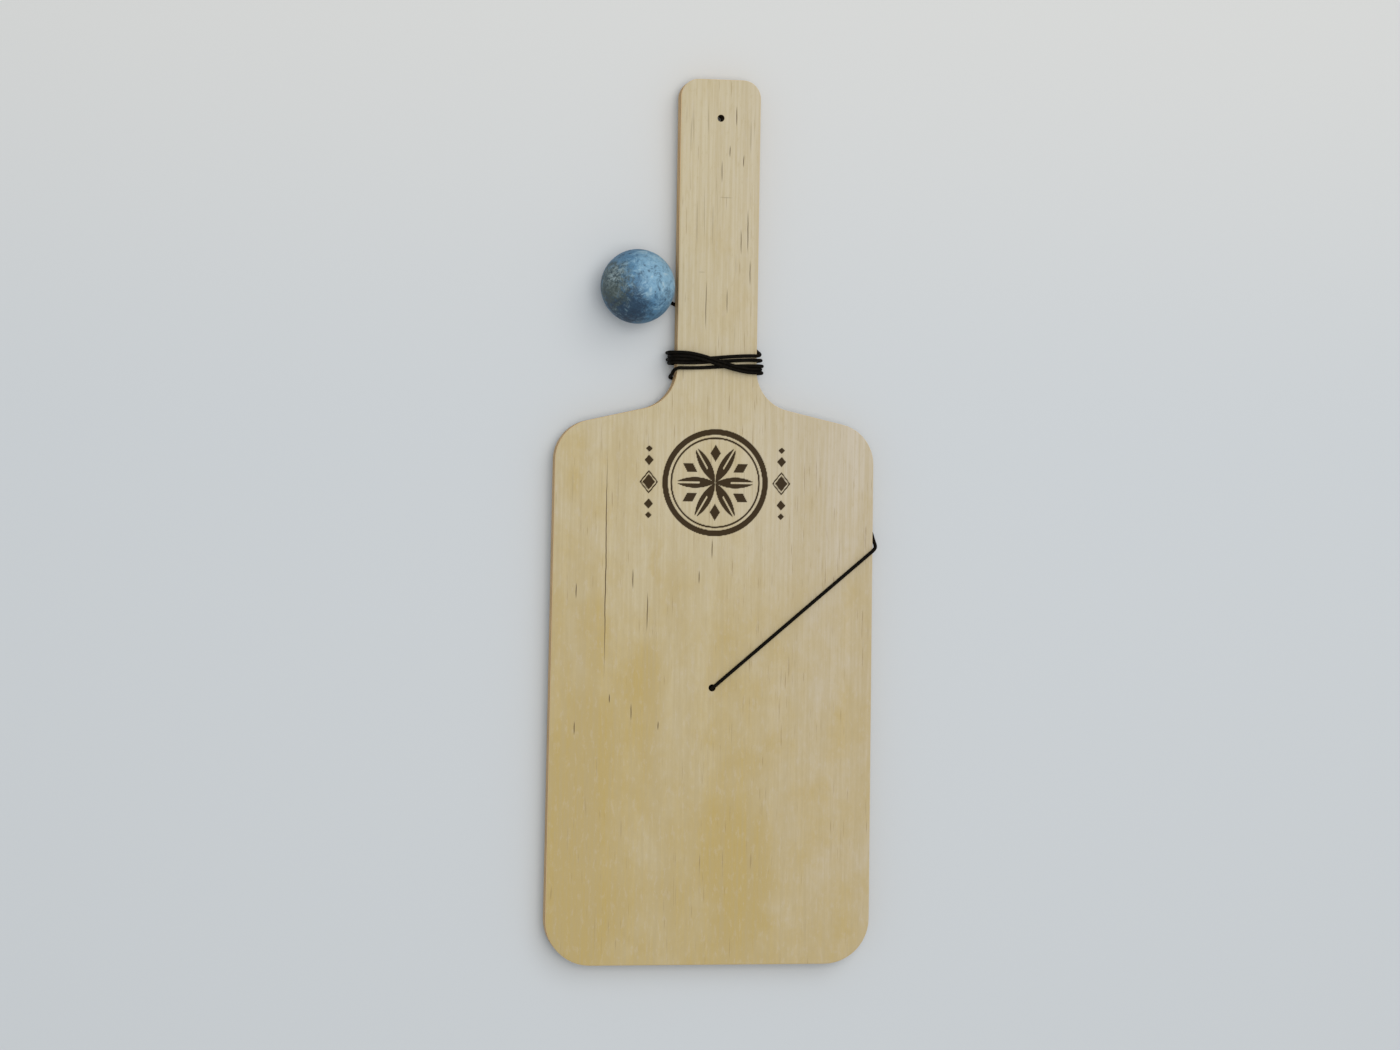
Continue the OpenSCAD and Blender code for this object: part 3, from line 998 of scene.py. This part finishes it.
@dataclass
class Rosette:
    """Burned ornament on the blade: a six-petal rose in two rings, with diamonds at both sides."""

    x: float = 0.0
    y: float = 17.7 * MM
    petal_r: float = 18.0 * MM
    ring_r: float = 22.3 * MM
    ring_half: float = 1.25 * MM
    thin_r: float = 19.6 * MM
    thin_half: float = 0.4 * MM
    slit_half: float = 0.35 * MM
    slit_start: float = 7.0 * MM
    stud_at: float = 13.0 * MM
    stud_half: float = 2.3 * MM
    wing_x: float = 29.6 * MM
    wing_half: float = 5.2 * MM
    wing_line: float = 0.9 * MM
    wing_core: float = 1.7 * MM
    small_y: float = 9.6 * MM
    small_half: float = 2.3 * MM
    dot_y: float = 14.6 * MM
    dot_half: float = 1.5 * MM
    depth: float = 0.3 * MM
    soft: float = 0.35 * MM

    def diamond(self, across: np.ndarray, along: np.ndarray, half: float, slope: float) -> np.ndarray:
        """How far inside a diamond each place lies.

        It is the diamond's half height less the sum of the two distances from its middle, of which
        the one across counts by the slope.

        Args:
            across: Distances across from the middle, of either sign.
            along: Distances along from it.
            half: Half height of the diamond.
            slope: Height of the diamond for one of its width.

        Returns:
            The distances, below 0 outside.
        """
        return half - (np.abs(across) * slope + np.abs(along))

    def burn(self, x: np.ndarray, y: np.ndarray) -> np.ndarray:
        """How deep the burn is at each place, from 0 to 1.

        The distance inside each form is worked out and cut off softly. A petal is the overlap of two
        circles that pass through the middle, folded into one sixth of a turn, with a slit along it.
        A stud, a wing, a small diamond and a dot are diamonds, and a wing is hollow round its core.

        Args:
            x: Places across the bat.
            y: Places along it.

        Returns:
            The share of the full burn at each place.
        """
        x, y = x - self.x, y - self.y
        rho = np.hypot(x, y)
        angle = (np.arctan2(y, x) + math.pi / 6) % (math.pi / 3) - math.pi / 6
        px, py = rho * np.cos(angle), rho * np.abs(np.sin(angle))
        petal = self.petal_r - np.hypot(px - self.petal_r / 2, py + self.petal_r * math.sqrt(3) / 2)
        petal = np.minimum(petal, np.maximum(py - self.slit_half, self.slit_start - px))
        rings = np.maximum(self.ring_half - np.abs(rho - self.ring_r),
                           self.thin_half - np.abs(rho - self.thin_r))
        gap = np.arctan2(y, x) % (math.pi / 3) - math.pi / 6
        stud = self.diamond(rho * np.cos(gap) - self.stud_at, rho * np.sin(gap), self.stud_half, 0.62)
        side = np.abs(x) - self.wing_x
        wings = self.diamond(side, y, self.wing_half, 1.25)
        wings = np.minimum(wings, np.maximum(self.wing_line - wings, wings - self.wing_core))
        small = self.diamond(side, np.abs(y) - self.small_y, self.small_half, 1.1)
        dots = self.diamond(side, np.abs(y) - self.dot_y, self.dot_half, 1.0)
        inside = np.max([petal, rings, stud, wings, small, dots], axis=0)
        return ease(0.5 + inside / self.soft)


@dataclass
class Board:
    """The bat's five veneers, each a closed mesh with eased edges and its holes."""

    length: float = 390 * MM
    blade_low_w: float = 145 * MM
    blade_high_w: float = 142 * MM
    shoulder_h: float = 236 * MM
    shoulder_rise: float = 12.2 * MM
    handle_w: float = 35.5 * MM
    low_corner_r: float = 20 * MM
    shoulder_r: float = 18 * MM
    neck_r: float = 18 * MM
    handle_corner_r: float = 8 * MM
    hole_r: float = 1.5 * MM
    hang_y: float = 178 * MM
    cord_y: float = -72.7 * MM
    hole_ease: float = 0.12 * MM
    hole_points: int = 48
    fine_step: float = 0.42 * MM
    fine_columns: int = 85
    coarse_step: float = 3.0 * MM
    weld: float = 0.002 * MM
    block_half: float = 3.0 * MM
    seat_r: float = 3.3 * MM
    face_ease: float = 0.45 * MM
    glue_inset: float = 0.05 * MM
    ornament: Rosette = field(default_factory=Rosette)

    def __post_init__(self) -> None:
        """Works out the outline's right half and the rows and columns of the face."""
        self.low_y = -self.length / 2
        self.half = self.half_outline()
        self.rows = self.face_rows()
        self.columns = self.face_columns()

    def half_outline(self) -> np.ndarray:
        """Right half of the outline, from the low end up, with every corner as an arc.

        Returns:
            Points with their heights always rising.
        """
        corners = np.array([
            [0, 0, 0], [self.blade_low_w / 2, 0, self.low_corner_r],
            [self.blade_high_w / 2, self.shoulder_h, self.shoulder_r],
            [self.handle_w / 2, self.shoulder_h + self.shoulder_rise, self.neck_r],
            [self.handle_w / 2, self.length, self.handle_corner_r], [0, self.length, 0]])
        arcs = []
        for before, corner, after in zip(corners[:-2], corners[1:-1], corners[2:]):
            back, on = unit(before[:2] - corner[:2]), unit(after[:2] - corner[:2])
            half = math.acos(float(back @ on)) / 2
            centre = corner[:2] + unit(back + on) * corner[2] / math.sin(half)
            start = corner[:2] + back * corner[2] / math.tan(half) - centre
            sweep = (math.pi - 2 * half) * -np.sign(back[0] * on[1] - back[1] * on[0])
            turn = np.linspace(0, sweep, 13)
            arcs.append(centre + np.stack([start[0] * np.cos(turn) - start[1] * np.sin(turn),
                                           start[0] * np.sin(turn) + start[1] * np.cos(turn)], 1))
        return np.vstack(arcs) + [0, self.low_y]

    def half_width(self, y: np.ndarray) -> np.ndarray:
        """Half the bat's width at each height."""
        return np.interp(y, self.half[:, 1], self.half[:, 0])

    def face_rows(self) -> np.ndarray:
        """Heights of the face's rows.

        Returns:
            The heights of the outline's own points, with closer rows at the ornament and the holes.
        """
        reach = self.ornament.ring_r + self.ornament.ring_half + 0.6 * MM
        dense = np.arange(self.ornament.y - reach, self.ornament.y + reach, self.fine_step)
        near = np.linspace(-self.block_half, self.block_half, 13)
        holes = [y + near for y in (self.hang_y, self.cord_y)]
        coarse = np.arange(self.low_y + self.coarse_step, -self.low_y, self.coarse_step)
        fixed = np.concatenate([self.half[:, 1], dense, *holes])
        gap = np.abs(coarse[:, None] - fixed[None, :]).min(1)
        rows = np.sort(np.concatenate([fixed, coarse[gap > 1.4 * MM]]))
        keep = np.concatenate([[True], np.diff(rows) > 0.02 * MM])
        return rows[keep]

    def face_columns(self) -> np.ndarray:
        """Places of the face's columns.

        Returns:
            Shares of the half width, -1 to 1, closer at the ornament.
        """
        wide = float(self.half_width(np.array([self.ornament.y]))[0])
        dense = np.arange(-self.fine_columns, self.fine_columns + 1) * self.fine_step / wide
        coarse = np.linspace(dense[-1], 1, 13)[1:]
        return np.concatenate([-coarse[::-1], dense, coarse])

    def loop(self) -> np.ndarray:
        """The outline as one closed line, anticlockwise from the low left corner.

        Returns:
            Points that match the rim of the face's grid.
        """
        y, s = self.rows, self.columns
        w = self.half_width(y)
        low = np.stack([s * w[0], np.full(len(s), y[0])], 1)
        right = np.stack([w[1:], y[1:]], 1)
        high = np.stack([s[-2::-1] * w[-1], np.full(len(s) - 1, y[-1])], 1)
        left = np.stack([-w[-2:0:-1], y[-2:0:-1]], 1)
        return np.vstack([low, right, high, left])

    def loop_outward(self, loop: np.ndarray) -> np.ndarray:
        """Outward direction at each point of a closed anticlockwise line."""
        along = unit(np.roll(loop, -1, axis=0) - np.roll(loop, 1, axis=0))
        return np.stack([along[:, 1], -along[:, 0]], 1)

    def veneer(self, name: str, low: float, high: float, eased: dict, holes: tuple,
               material: bpy.types.Material) -> bpy.types.Object:
        """Makes one veneer as a closed mesh: a band round its outline, two flat faces and its holes.

        Args:
            name: Name of the piece.
            low: Level of its lower face.
            high: Level of its upper face.
            eased: Easing radius at the low and the high edge.
            holes: Each hole's height on the bat, its radius at the low and the high face, and the
                angles of its points.
            material: Finish of the veneer.

        Returns:
            The piece.
        """
        loop = self.loop()
        outward = self.loop_outward(loop)
        profile = self.edge_profile(low, high, eased["low"], eased["high"])
        level = np.broadcast_to(profile[:, 1:, None], (len(profile), len(loop), 1))
        band = np.concatenate([loop[None] - outward[None] * profile[:, :1, None], level], -1)
        rings = [band]
        for y, low_r, high_r, turn in holes:
            wide = self.hole_ease
            radius = np.array([high_r + wide, high_r, low_r, low_r + wide])[:, None]
            level = np.array([high, high - wide, low + wide, low])[:, None]
            ring = np.stack([radius * np.cos(turn), y + radius * np.sin(turn),
                             np.broadcast_to(level, (4, len(turn)))], -1)
            rings.append(ring)
        points, faces, start = [], [], 0
        edges = {"low": [], "high": []}
        for ring in rings:
            count = ring.shape[1]
            points.append(ring.reshape(-1, 3))
            faces.append(grid_faces(len(ring), count, closed=True) + start)
            first, last = start, start + (len(ring) - 1) * count
            outer = ring is rings[0]
            edges["low" if outer else "high"].append((first, count))
            edges["high" if outer else "low"].append((last, count))
            start += ring.shape[0] * count
        return self.close(name, np.vstack(points), faces, edges, material)

    def edge_profile(self, low: float, high: float, ease_low: float, ease_high: float) -> np.ndarray:
        """Section of a veneer's edge, upright with a quarter round at each end.

        Args:
            low: Height of the low face.
            high: Height of the high face.
            ease_low: Radius of the round at the low face.
            ease_high: Radius of the round at the high face.

        Returns:
            How far in and how high each point of the section lies.
        """
        turn = np.linspace(0, math.pi / 2, 5)
        lower = np.stack([ease_low * (1 - np.sin(turn)), low + ease_low * (1 - np.cos(turn))], 1)
        upper = np.stack([ease_high * (1 - np.cos(turn)), high - ease_high * (1 - np.sin(turn))], 1)
        return np.vstack([lower, upper])

    def close(self, name: str, points: np.ndarray, faces: list, edges: dict,
              material: bpy.types.Material) -> bpy.types.Object:
        """Fills the flat faces between the outline and the holes, and turns all faces outwards.

        Args:
            name: Name of the piece.
            points: Points of the bands.
            faces: Their quads.
            edges: For each flat face, where its loops start and how many points they have.
            material: Finish of the piece.

        Returns:
            The closed piece.
        """
        piece = mesh_object(name, points, faces, material)
        mesh = bmesh.new()
        mesh.from_mesh(piece.data)
        mesh.verts.ensure_lookup_table()
        for loops in edges.values():
            rim = [mesh.edges.get((mesh.verts[start + k], mesh.verts[start + (k + 1) % count]))
                   for start, count in loops for k in range(count)]
            bmesh.ops.triangle_fill(mesh, edges=rim, use_beauty=True, use_dissolve=False)
        bmesh.ops.recalc_face_normals(mesh, faces=mesh.faces)
        mesh.to_mesh(piece.data)
        mesh.free()
        piece.data.set_sharp_from_angle(angle=math.radians(40))
        return piece

    def build(self) -> None:
        """Makes the five veneers over their solids, each with its own finish."""
        grain, mark = grain_group(), mark_group()
        face = front_face_finish()
        # The cross and core tones are the plies' own stripes, made paler as painted light where their sides
        # lie in shade.
        cross = VeneerFinish("cross_wood", colour(180, 136, 84), colour(136, 98, 56), colour(84, 56, 32),
                             Grain.ACROSS).material(grain)
        core = VeneerFinish("core_wood", colour(242, 212, 158), colour(210, 174, 120),
                            colour(144, 110, 70), Grain.ALONG).material(grain)
        finishes = {"front_face_ply": face.face_material(grain, mark), "front_cross_ply": cross,
                    "core_ply": core, "back_cross_ply": cross,
                    "back_face_ply": back_face_finish().face_material(grain, mark)}
        for node, material in finishes.items():
            low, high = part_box(node)[0][2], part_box(node)[1][2]
            front, back = node == "front_face_ply", node == "back_face_ply"
            even = np.linspace(0, TAU, self.hole_points, endpoint=False)
            angles = [self.hole_angles(y) if front else even for y in (self.hang_y, self.cord_y)]
            holes = ((self.hang_y, self.hole_r, self.hole_r, angles[0]),
                     (self.cord_y, self.seat_r if back else self.hole_r, self.hole_r, angles[1]))
            eased = {"low": self.face_ease if back else self.glue_inset,
                     "high": self.face_ease if front else self.glue_inset}
            piece = self.veneer(node + "_wood", low, high, eased, holes, material)
            # The holes' walls are darkened through the same burn attribute as the ornament.
            point_values(piece, "burn", self.hole_wall_darkening(piece))
            if front:
                piece = self.dress_front(piece)
            settle(piece, "bat", node)

    def hole_wall_darkening(self, piece: bpy.types.Object) -> np.ndarray:
        """Darkening of the holes' walls, carried by the burn attribute.

        Args:
            piece: The veneer.

        Returns:
            1 at the points of the holes' walls and 0 elsewhere.
        """
        points = np.empty(3 * len(piece.data.vertices))
        piece.data.vertices.foreach_get("co", points)
        x, y, _ = points.reshape(-1, 3).T
        away = np.minimum(np.hypot(x, y - self.hang_y), np.hypot(x, y - self.cord_y))
        return (away < self.hole_r + 0.05 * MM).astype(float)

    def face_grid(self) -> np.ndarray:
        """Grid of the front's upper face.

        The border lies on the rim of the eased edge. Each row runs level through its own point on
        the rim's right side, and a point in it lies at its column's share of that point's distance.

        Returns:
            Places across and along the bat, for each row and column.
        """
        s = self.columns
        count_y, count_s = len(self.rows), len(s)
        loop = self.loop()
        rim = loop - self.loop_outward(loop) * self.face_ease
        side = rim[count_s - 1:count_s + count_y - 1]
        grid = np.stack([s * side[:, :1], np.broadcast_to(side[:, 1:], (count_y, count_s))], -1)
        grid[0] = rim[:count_s]
        grid[1:, -1] = rim[count_s:count_s + count_y - 1]
        grid[-1, :-1] = rim[count_s + count_y - 1:2 * count_s + count_y - 2][::-1]
        grid[1:-1, 0] = rim[2 * count_s + count_y - 2:][::-1]
        return grid

    def hole_block(self, hole_y: float) -> tuple[np.ndarray, np.ndarray]:
        """Square block of the face's grid round a hole.

        Args:
            hole_y: Height of the hole on the bat.

        Returns:
            Numbers of the points on the block's rim, anticlockwise, and of the first point of each
            quad inside it.
        """
        y, s = self.rows, self.columns
        width = float(self.half_width(np.array([hole_y]))[0])
        sides = (-self.block_half, self.block_half)
        i0, i1 = (int(np.abs(y - (hole_y + side)).argmin()) for side in sides)
        j0, j1 = (int(np.abs(s - side / width).argmin()) for side in sides)
        rim = np.concatenate([
            i0 * len(s) + np.arange(j0, j1), np.arange(i0, i1) * len(s) + j1,
            i1 * len(s) + np.arange(j1, j0, -1), np.arange(i1, i0, -1) * len(s) + j0])
        inside = np.arange(i0, i1)[:, None] * len(s) + np.arange(j0, j1)
        return rim, inside.ravel()

    def hole_angles(self, hole_y: float) -> np.ndarray:
        """Angles round a hole at which the rim of its block in the face's grid stands."""
        away = self.face_grid().reshape(-1, 2)[self.hole_block(hole_y)[0]] - [0, hole_y]
        return np.arctan2(away[:, 1], away[:, 0])

    def dress_front(self, piece: bpy.types.Object) -> bpy.types.Object:
        """Swaps the front veneer's flat upper face for a fine grid with the ornament in it.

        The grid is lowered by the ornament's depth where the burn is full. Round each hole a square
        block of it is left out, and rings of quads run from the block's rim to the hole's, whose
        points stand at the same angles.

        Args:
            piece: The closed front veneer.

        Returns:
            The same piece with its new face.
        """
        mesh = bmesh.new()
        mesh.from_mesh(piece.data)
        top = max(v.co.z for v in mesh.verts)
        old = [f for f in mesh.faces if all(abs(v.co.z - top) < 1e-7 for v in f.verts)]
        bmesh.ops.delete(mesh, geom=old, context="FACES")
        mesh.to_mesh(piece.data)
        mesh.free()

        flat = self.face_grid().reshape(-1, 2)
        quads = grid_faces(len(self.rows), len(self.columns))
        patches, patch_faces, start = [], [], len(flat)
        for hole_y in (self.hang_y, self.cord_y):
            block, inside = self.hole_block(hole_y)
            quads = quads[~np.isin(quads[:, 0], inside)]
            away = flat[block] - [0, hole_y]
            inner = unit(away) * (self.hole_r + self.hole_ease)
            shares = np.linspace(0, 1, 6)[1:, None, None]
            ring = [0, hole_y] + away[None] * (1 - shares) + inner[None] * shares
            patches.append(ring.reshape(-1, 2))
            fresh = start + np.arange(ring.shape[0] * len(block))
            numbers = np.vstack([block[None], fresh.reshape(ring.shape[0], -1)])
            nexts = np.roll(numbers, -1, axis=1)
            around = np.stack([numbers[:-1], nexts[:-1], nexts[1:], numbers[1:]], -1)
            patch_faces.append(around.reshape(-1, 4))
            start += len(fresh)
        plan = np.vstack([flat] + patches)
        burn = self.ornament.burn(plan[:, 0], plan[:, 1])
        level = top - burn * self.ornament.depth
        face = mesh_object("front_face_grid", np.column_stack([plan, level]), [quads] + patch_faces,
                           piece.data.materials[0])
        point_values(face, "burn", burn)
        joined = bmesh.new()
        joined.from_mesh(piece.data)
        joined.from_mesh(face.data)
        bmesh.ops.remove_doubles(joined, verts=joined.verts, dist=self.weld)
        bmesh.ops.recalc_face_normals(joined, faces=joined.faces)
        log.info("front veneer: %d open edges", sum(len(e.link_faces) != 2 for e in joined.edges))
        joined.to_mesh(piece.data)
        joined.free()
        bpy.data.objects.remove(face)
        piece.data.set_sharp_from_angle(angle=math.radians(50))
        return piece


def front_face_finish() -> FaceFinish:
    """Finish of the front face.

    Returns:
        The finish, with its stains and cracks where they lie on the bat.
    """
    stains = ((-58, -108, 17, 50, 1.0), (-53, -49, 9, 24, 0.9), (-64, 31, 10, 26, 0.8),
              (14, -154, 20, 42, 0.8), (-58, -176, 20, 22, 0.8), (-25, -17, 3, 13, 1.0),
              (-68, -60, 7, 36, 0.8), (44, -130, 12, 30, 0.4), (-30, -80, 10, 34, 0.5))
    cracks = ((-48.1, -18.5, 0.28, 56, 1.0), (-61, -30.4, 0.28, 4, 0.9), (-36, -25.1, 0.28, 5.2, 0.9),
              (-29.5, -39.5, 0.28, 10, 0.85), (-1, -11.5, 0.28, 5, 0.9), (-6.6, -24, 0.28, 3.4, 0.85),
              (-61, -90.6, 0.28, 3.4, 0.9), (-45.7, -77.6, 0.28, 2.4, 0.9), (-36, -83.4, 0.28, 4.2, 0.85),
              (-23.8, -89.4, 0.28, 2.2, 0.85), (12.8, 128.6, 0.26, 11, 0.9), (14, 110.3, 0.26, 6.4, 0.8),
              (9.8, 123.9, 0.24, 6.4, 0.8), (4.2, 163.5, 0.24, 3, 0.9), (7.1, 179, 0.24, 5.2, 0.9),
              (10.5, 159.5, 0.24, 3.2, 0.9), (0.8, 154.6, 0.24, 5.6, 0.8), (-5.4, 95.8, 0.24, 12.4, 0.8),
              (4, 97.7, 0.24, 6.4, 0.8), (3, 143.2, 3.4, 0.3, 0.28), (-7.4, 110.2, 1.8, 0.25, 0.25))
    return FaceFinish("face_veneer_front", colour(199, 187, 158), colour(178, 161, 123),
                      colour(143, 120, 86), Grain.ALONG, stains=to_marks(stains), cracks=to_marks(cracks))


def back_face_finish() -> FaceFinish:
    """Finish of the back face.

    Returns:
        The finish, plainer than the front's.
    """
    stains = ((30, -120, 12, 34, 0.7), (-40, 10, 9, 24, 0.6))
    cracks = ((22, -60, 0.3, 30, 0.6), (-50, -110, 0.3, 14, 0.6))
    return FaceFinish("face_veneer_back", colour(197, 182, 147), colour(174, 155, 116),
                      colour(139, 114, 80), Grain.ALONG, stains=to_marks(stains), cracks=to_marks(cracks))


def to_marks(rows: tuple) -> tuple[Mark, ...]:
    """Marks from rows of x, y, half width and half length in millimetres, and strength."""
    return tuple(Mark(x * MM, y * MM, width * MM, length * MM, strength)
                 for x, y, width, length, strength in rows)


@dataclass
class Ball:
    """The rubber ball, with its bore, the knot's pocket, a moulding seam, pits and a scuffed far side."""

    centre: np.ndarray
    radius: float
    way: np.ndarray
    bore_r: float = 1.1 * MM
    pocket_r: float = 2.9 * MM
    pocket_low: float = 8.95 * MM
    pocket_high: float = 12.75 * MM
    around: int = 192
    finish: BallFinish = field(default_factory=BallFinish)

    def pocket_middle(self) -> np.ndarray:
        """Place of the knot, halfway along its pocket."""
        return self.centre + (self.pocket_low + self.pocket_high) / 2 * self.way

    def profile(self) -> tuple[np.ndarray, np.ndarray, np.ndarray]:
        """Section of the ball about the cord's direction.

        Returns:
            Radii, places along the axis from the far wall of the pocket round to the far pole, and
            the share of the skin's relief at each.
        """
        lip = 0.5 * MM
        mouth = math.asin((self.bore_r + lip) / self.radius)
        polar = np.linspace(math.pi - mouth, 0, 150)
        skin_r, skin_z = self.radius * np.sin(polar), self.radius * np.cos(polar)
        turn = np.linspace(0, math.pi / 2, 6)[:-1]
        lip_r = self.bore_r + lip * (1 - np.cos(turn))
        lip_z = skin_z[0] + lip * (1 - np.sin(turn))
        r = np.concatenate([[0, self.pocket_r, self.pocket_r, self.bore_r], np.full(5, self.bore_r),
                            lip_r, skin_r])
        z = np.concatenate([[self.pocket_high, self.pocket_high, self.pocket_low, self.pocket_low],
                            np.linspace(self.pocket_low, lip_z[0], 7)[1:-1], lip_z, skin_z])
        fade = np.sin(polar) ** 0.5 * ease((math.pi - mouth - polar) / 0.1)
        relief = np.concatenate([np.zeros(9 + len(lip_r)), fade])
        return r, z, relief

    def build(self) -> None:
        """Makes the ball as one surface of revolution with the skin's relief along its normal."""
        r, z, relief = self.profile()
        third = self.way
        second = unit(np.cross(third, [0.0, 0.0, 1.0]))
        first = np.cross(second, third)
        turn = np.linspace(0, TAU, self.around, endpoint=False)
        spoke = np.cos(turn)[:, None] * first + np.sin(turn)[:, None] * second
        inner = r[1:-1, None, None] * spoke[None] + z[1:-1, None, None] * third
        out = unit(inner)
        dent, pit, worn = self.skin(out)
        inner = inner + out * (relief[1:-1, None] * dent)[..., None]
        points = np.vstack([inner.reshape(-1, 3), [z[0] * third], [z[-1] * third]]) + self.centre
        material = self.finish.material(self.centre, self.radius)
        piece = mesh_object("ball_skin", points, capped_faces(len(inner), self.around), material, 45)
        point_values(piece, "pit", np.concatenate([pit.ravel(), [0, 0]]))
        point_values(piece, "worn", np.concatenate([worn.ravel(), [0, 0]]))
        settle(piece, "ball", "ball")

    def skin(self, out: np.ndarray) -> tuple[np.ndarray, np.ndarray, np.ndarray]:
        """Relief of the skin at each direction from the centre.

        It is a sum of slow waves, a low ridge where the mould's halves met, a round dimple at the
        far pole and Gaussian pits at chosen directions.

        Args:
            out: Directions from the ball's centre.

        Returns:
            Height, how deep in a pit, and how worn.
        """
        x, y, z = np.moveaxis(out, -1, 0)
        waves = np.sin(5 * x + 3 * y) + np.sin(7 * y - 4 * z + 1) + np.sin(9 * z + 6 * x + 2)
        waves = 0.05 * MM * waves / 3
        seam = 0.06 * MM * np.exp(-((0.2 * x + 0.93 * y + 0.3 * z) / 0.012) ** 2)
        pits = np.array([[0.05, 0.52, 0.85], [0.16, 0.37, 0.91], [0.47, -0.12, 0.87], [0.34, -0.19, 0.92],
                         [-0.45, 0.62, 0.64], [-0.2, -0.75, 0.63], [0.7, 0.5, 0.5], [-0.3, 0.85, 0.43]])
        sizes = np.array([0.03, 0.035, 0.03, 0.025, 0.02, 0.02, 0.02, 0.03])
        near = np.arccos(np.clip(out @ unit(pits).T, -1, 1)) / sizes
        pit = np.exp(-near ** 2).max(-1)
        pole = np.arccos(np.clip(out @ self.way, -1, 1))
        dimple = np.exp(-(pole / 0.06) ** 2)
        worn = np.exp(-(pole / 0.3) ** 2)
        return waves + seam - 0.25 * MM * pit - 0.3 * MM * dimple, np.maximum(pit, 0.5 * dimple), worn


@dataclass
class Studio:
    """Pale floor, two broad lamps, an even sky and the camera over the bat.

    The floor's colour brightens towards its far side as painted light.
    """

    lens: float = 3300 / 1400 * 36
    place: tuple = (-0.24651, 0.01707, 1.4437)
    turn_deg: tuple = (-0.8632, -9.5, 0.912)
    floor: tuple = colour(199, 203, 205)
    floor_lit_far: tuple = colour(209, 209, 206)
    lamps: tuple = (("key_lamp", (0.6, 0.9, 1.6), 8.5), ("top_lamp", (0.0, 0.1, 2.2), 20.5))
    lamp_side: float = 1.2

    def build(self) -> None:
        """Makes the camera, the floor and the lamps."""
        scene = bpy.context.scene
        scene.view_settings.view_transform = "Standard"
        camera = bpy.data.cameras.new("camera")
        camera.lens, camera.sensor_width = self.lens, 36
        holder = bpy.data.objects.new("camera", camera)
        holder.location = self.place
        holder.rotation_euler = [math.radians(a) for a in self.turn_deg]
        scene.collection.objects.link(holder)
        scene.camera = holder
        self.make_floor()
        for name, place, power in self.lamps:
            self.lamp(name, place, power)
        self.make_world()

    def make_floor(self) -> None:
        """Makes the floor, a flat disc of rings, six metres across, with painted light that brightens it
        towards +Y.
        """
        turn = np.linspace(0, TAU, 64, endpoint=False)
        radii = np.array([0.5, 1.5, 3.0])[:, None]
        rings = np.stack([radii * np.cos(turn), radii * np.sin(turn), 0 * radii * turn], -1)
        points = np.vstack([rings.reshape(-1, 3), [[0, 0, 0]]])
        here = np.arange(64)
        middle = np.stack([np.full(64, len(points) - 1), here, (here + 1) % 64], 1)
        material, tree, shader = new_material("pale_floor", 0.7)
        place = tree.place()
        # Painted light: the floor brightens from Y = 0.02 m to 0.26 m.
        far = tree.step(tree.parts(place)[1], 0.02, 0.26)
        tree.feed(shader.inputs["Base Color"], tree.mix(self.floor, self.floor_lit_far, far))
        piece = mesh_object("floor", points, [grid_faces(3, 64, closed=True), middle], material)

    def lamp(self, name: str, place: tuple, power: float) -> None:
        """Makes a square lamp that faces the bat.

        Args:
            name: Name of the lamp.
            place: Where it stands.
            power: Its strength in watts.
        """
        light = bpy.data.lights.new(name, "AREA")
        light.size, light.energy = self.lamp_side, power
        holder = bpy.data.objects.new(name, light)
        holder.location = place
        holder.rotation_euler = (-Vector(place)).to_track_quat("-Z", "Y").to_euler()
        bpy.context.scene.collection.objects.link(holder)

    def make_world(self) -> None:
        """Makes a soft even sky, which the camera sees as a pale backdrop."""
        world = bpy.data.worlds.new("sky")
        bpy.context.scene.world = world
        world.use_nodes = True
        tree = Tree(world.node_tree)
        background = world.node_tree.nodes["Background"]
        rays = tree.node("ShaderNodeLightPath").outputs["Is Camera Ray"]
        tree.feed(background.inputs["Color"], tree.mix(colour(235, 238, 242), colour(214, 218, 221), rays))
        tree.feed(background.inputs["Strength"], tree.math("MULTIPLY_ADD", rays, 0.45, 0.55))


def main() -> None:
    """Builds the stage and every piece, and reports each."""
    logging.basicConfig(level=logging.INFO, format="%(name)s: %(message)s")
    Studio().build()
    neck = Neck()
    neck.build()
    low, high = (np.array(corner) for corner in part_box("ball"))
    centre, radius = (low + high) / 2, float((high - low).max() / 2)
    lead = Lead(neck, centre, radius)
    lead.build()
    ball = Ball(centre, radius, lead.way)
    Knot("blade_knot_cord", "blade_knot", "bat", np.array([0, neck.hole_y, neck.knot_h / 2]),
         np.array([0, 0, 1.0])).build(neck.material)
    Knot("ball_knot_cord", "ball_knot", "tether_end", ball.pocket_middle(), lead.way,
         tail=0.1 * MM).build(neck.material)
    Board().build()
    ball.build()


if __name__ == "__main__":
    main()
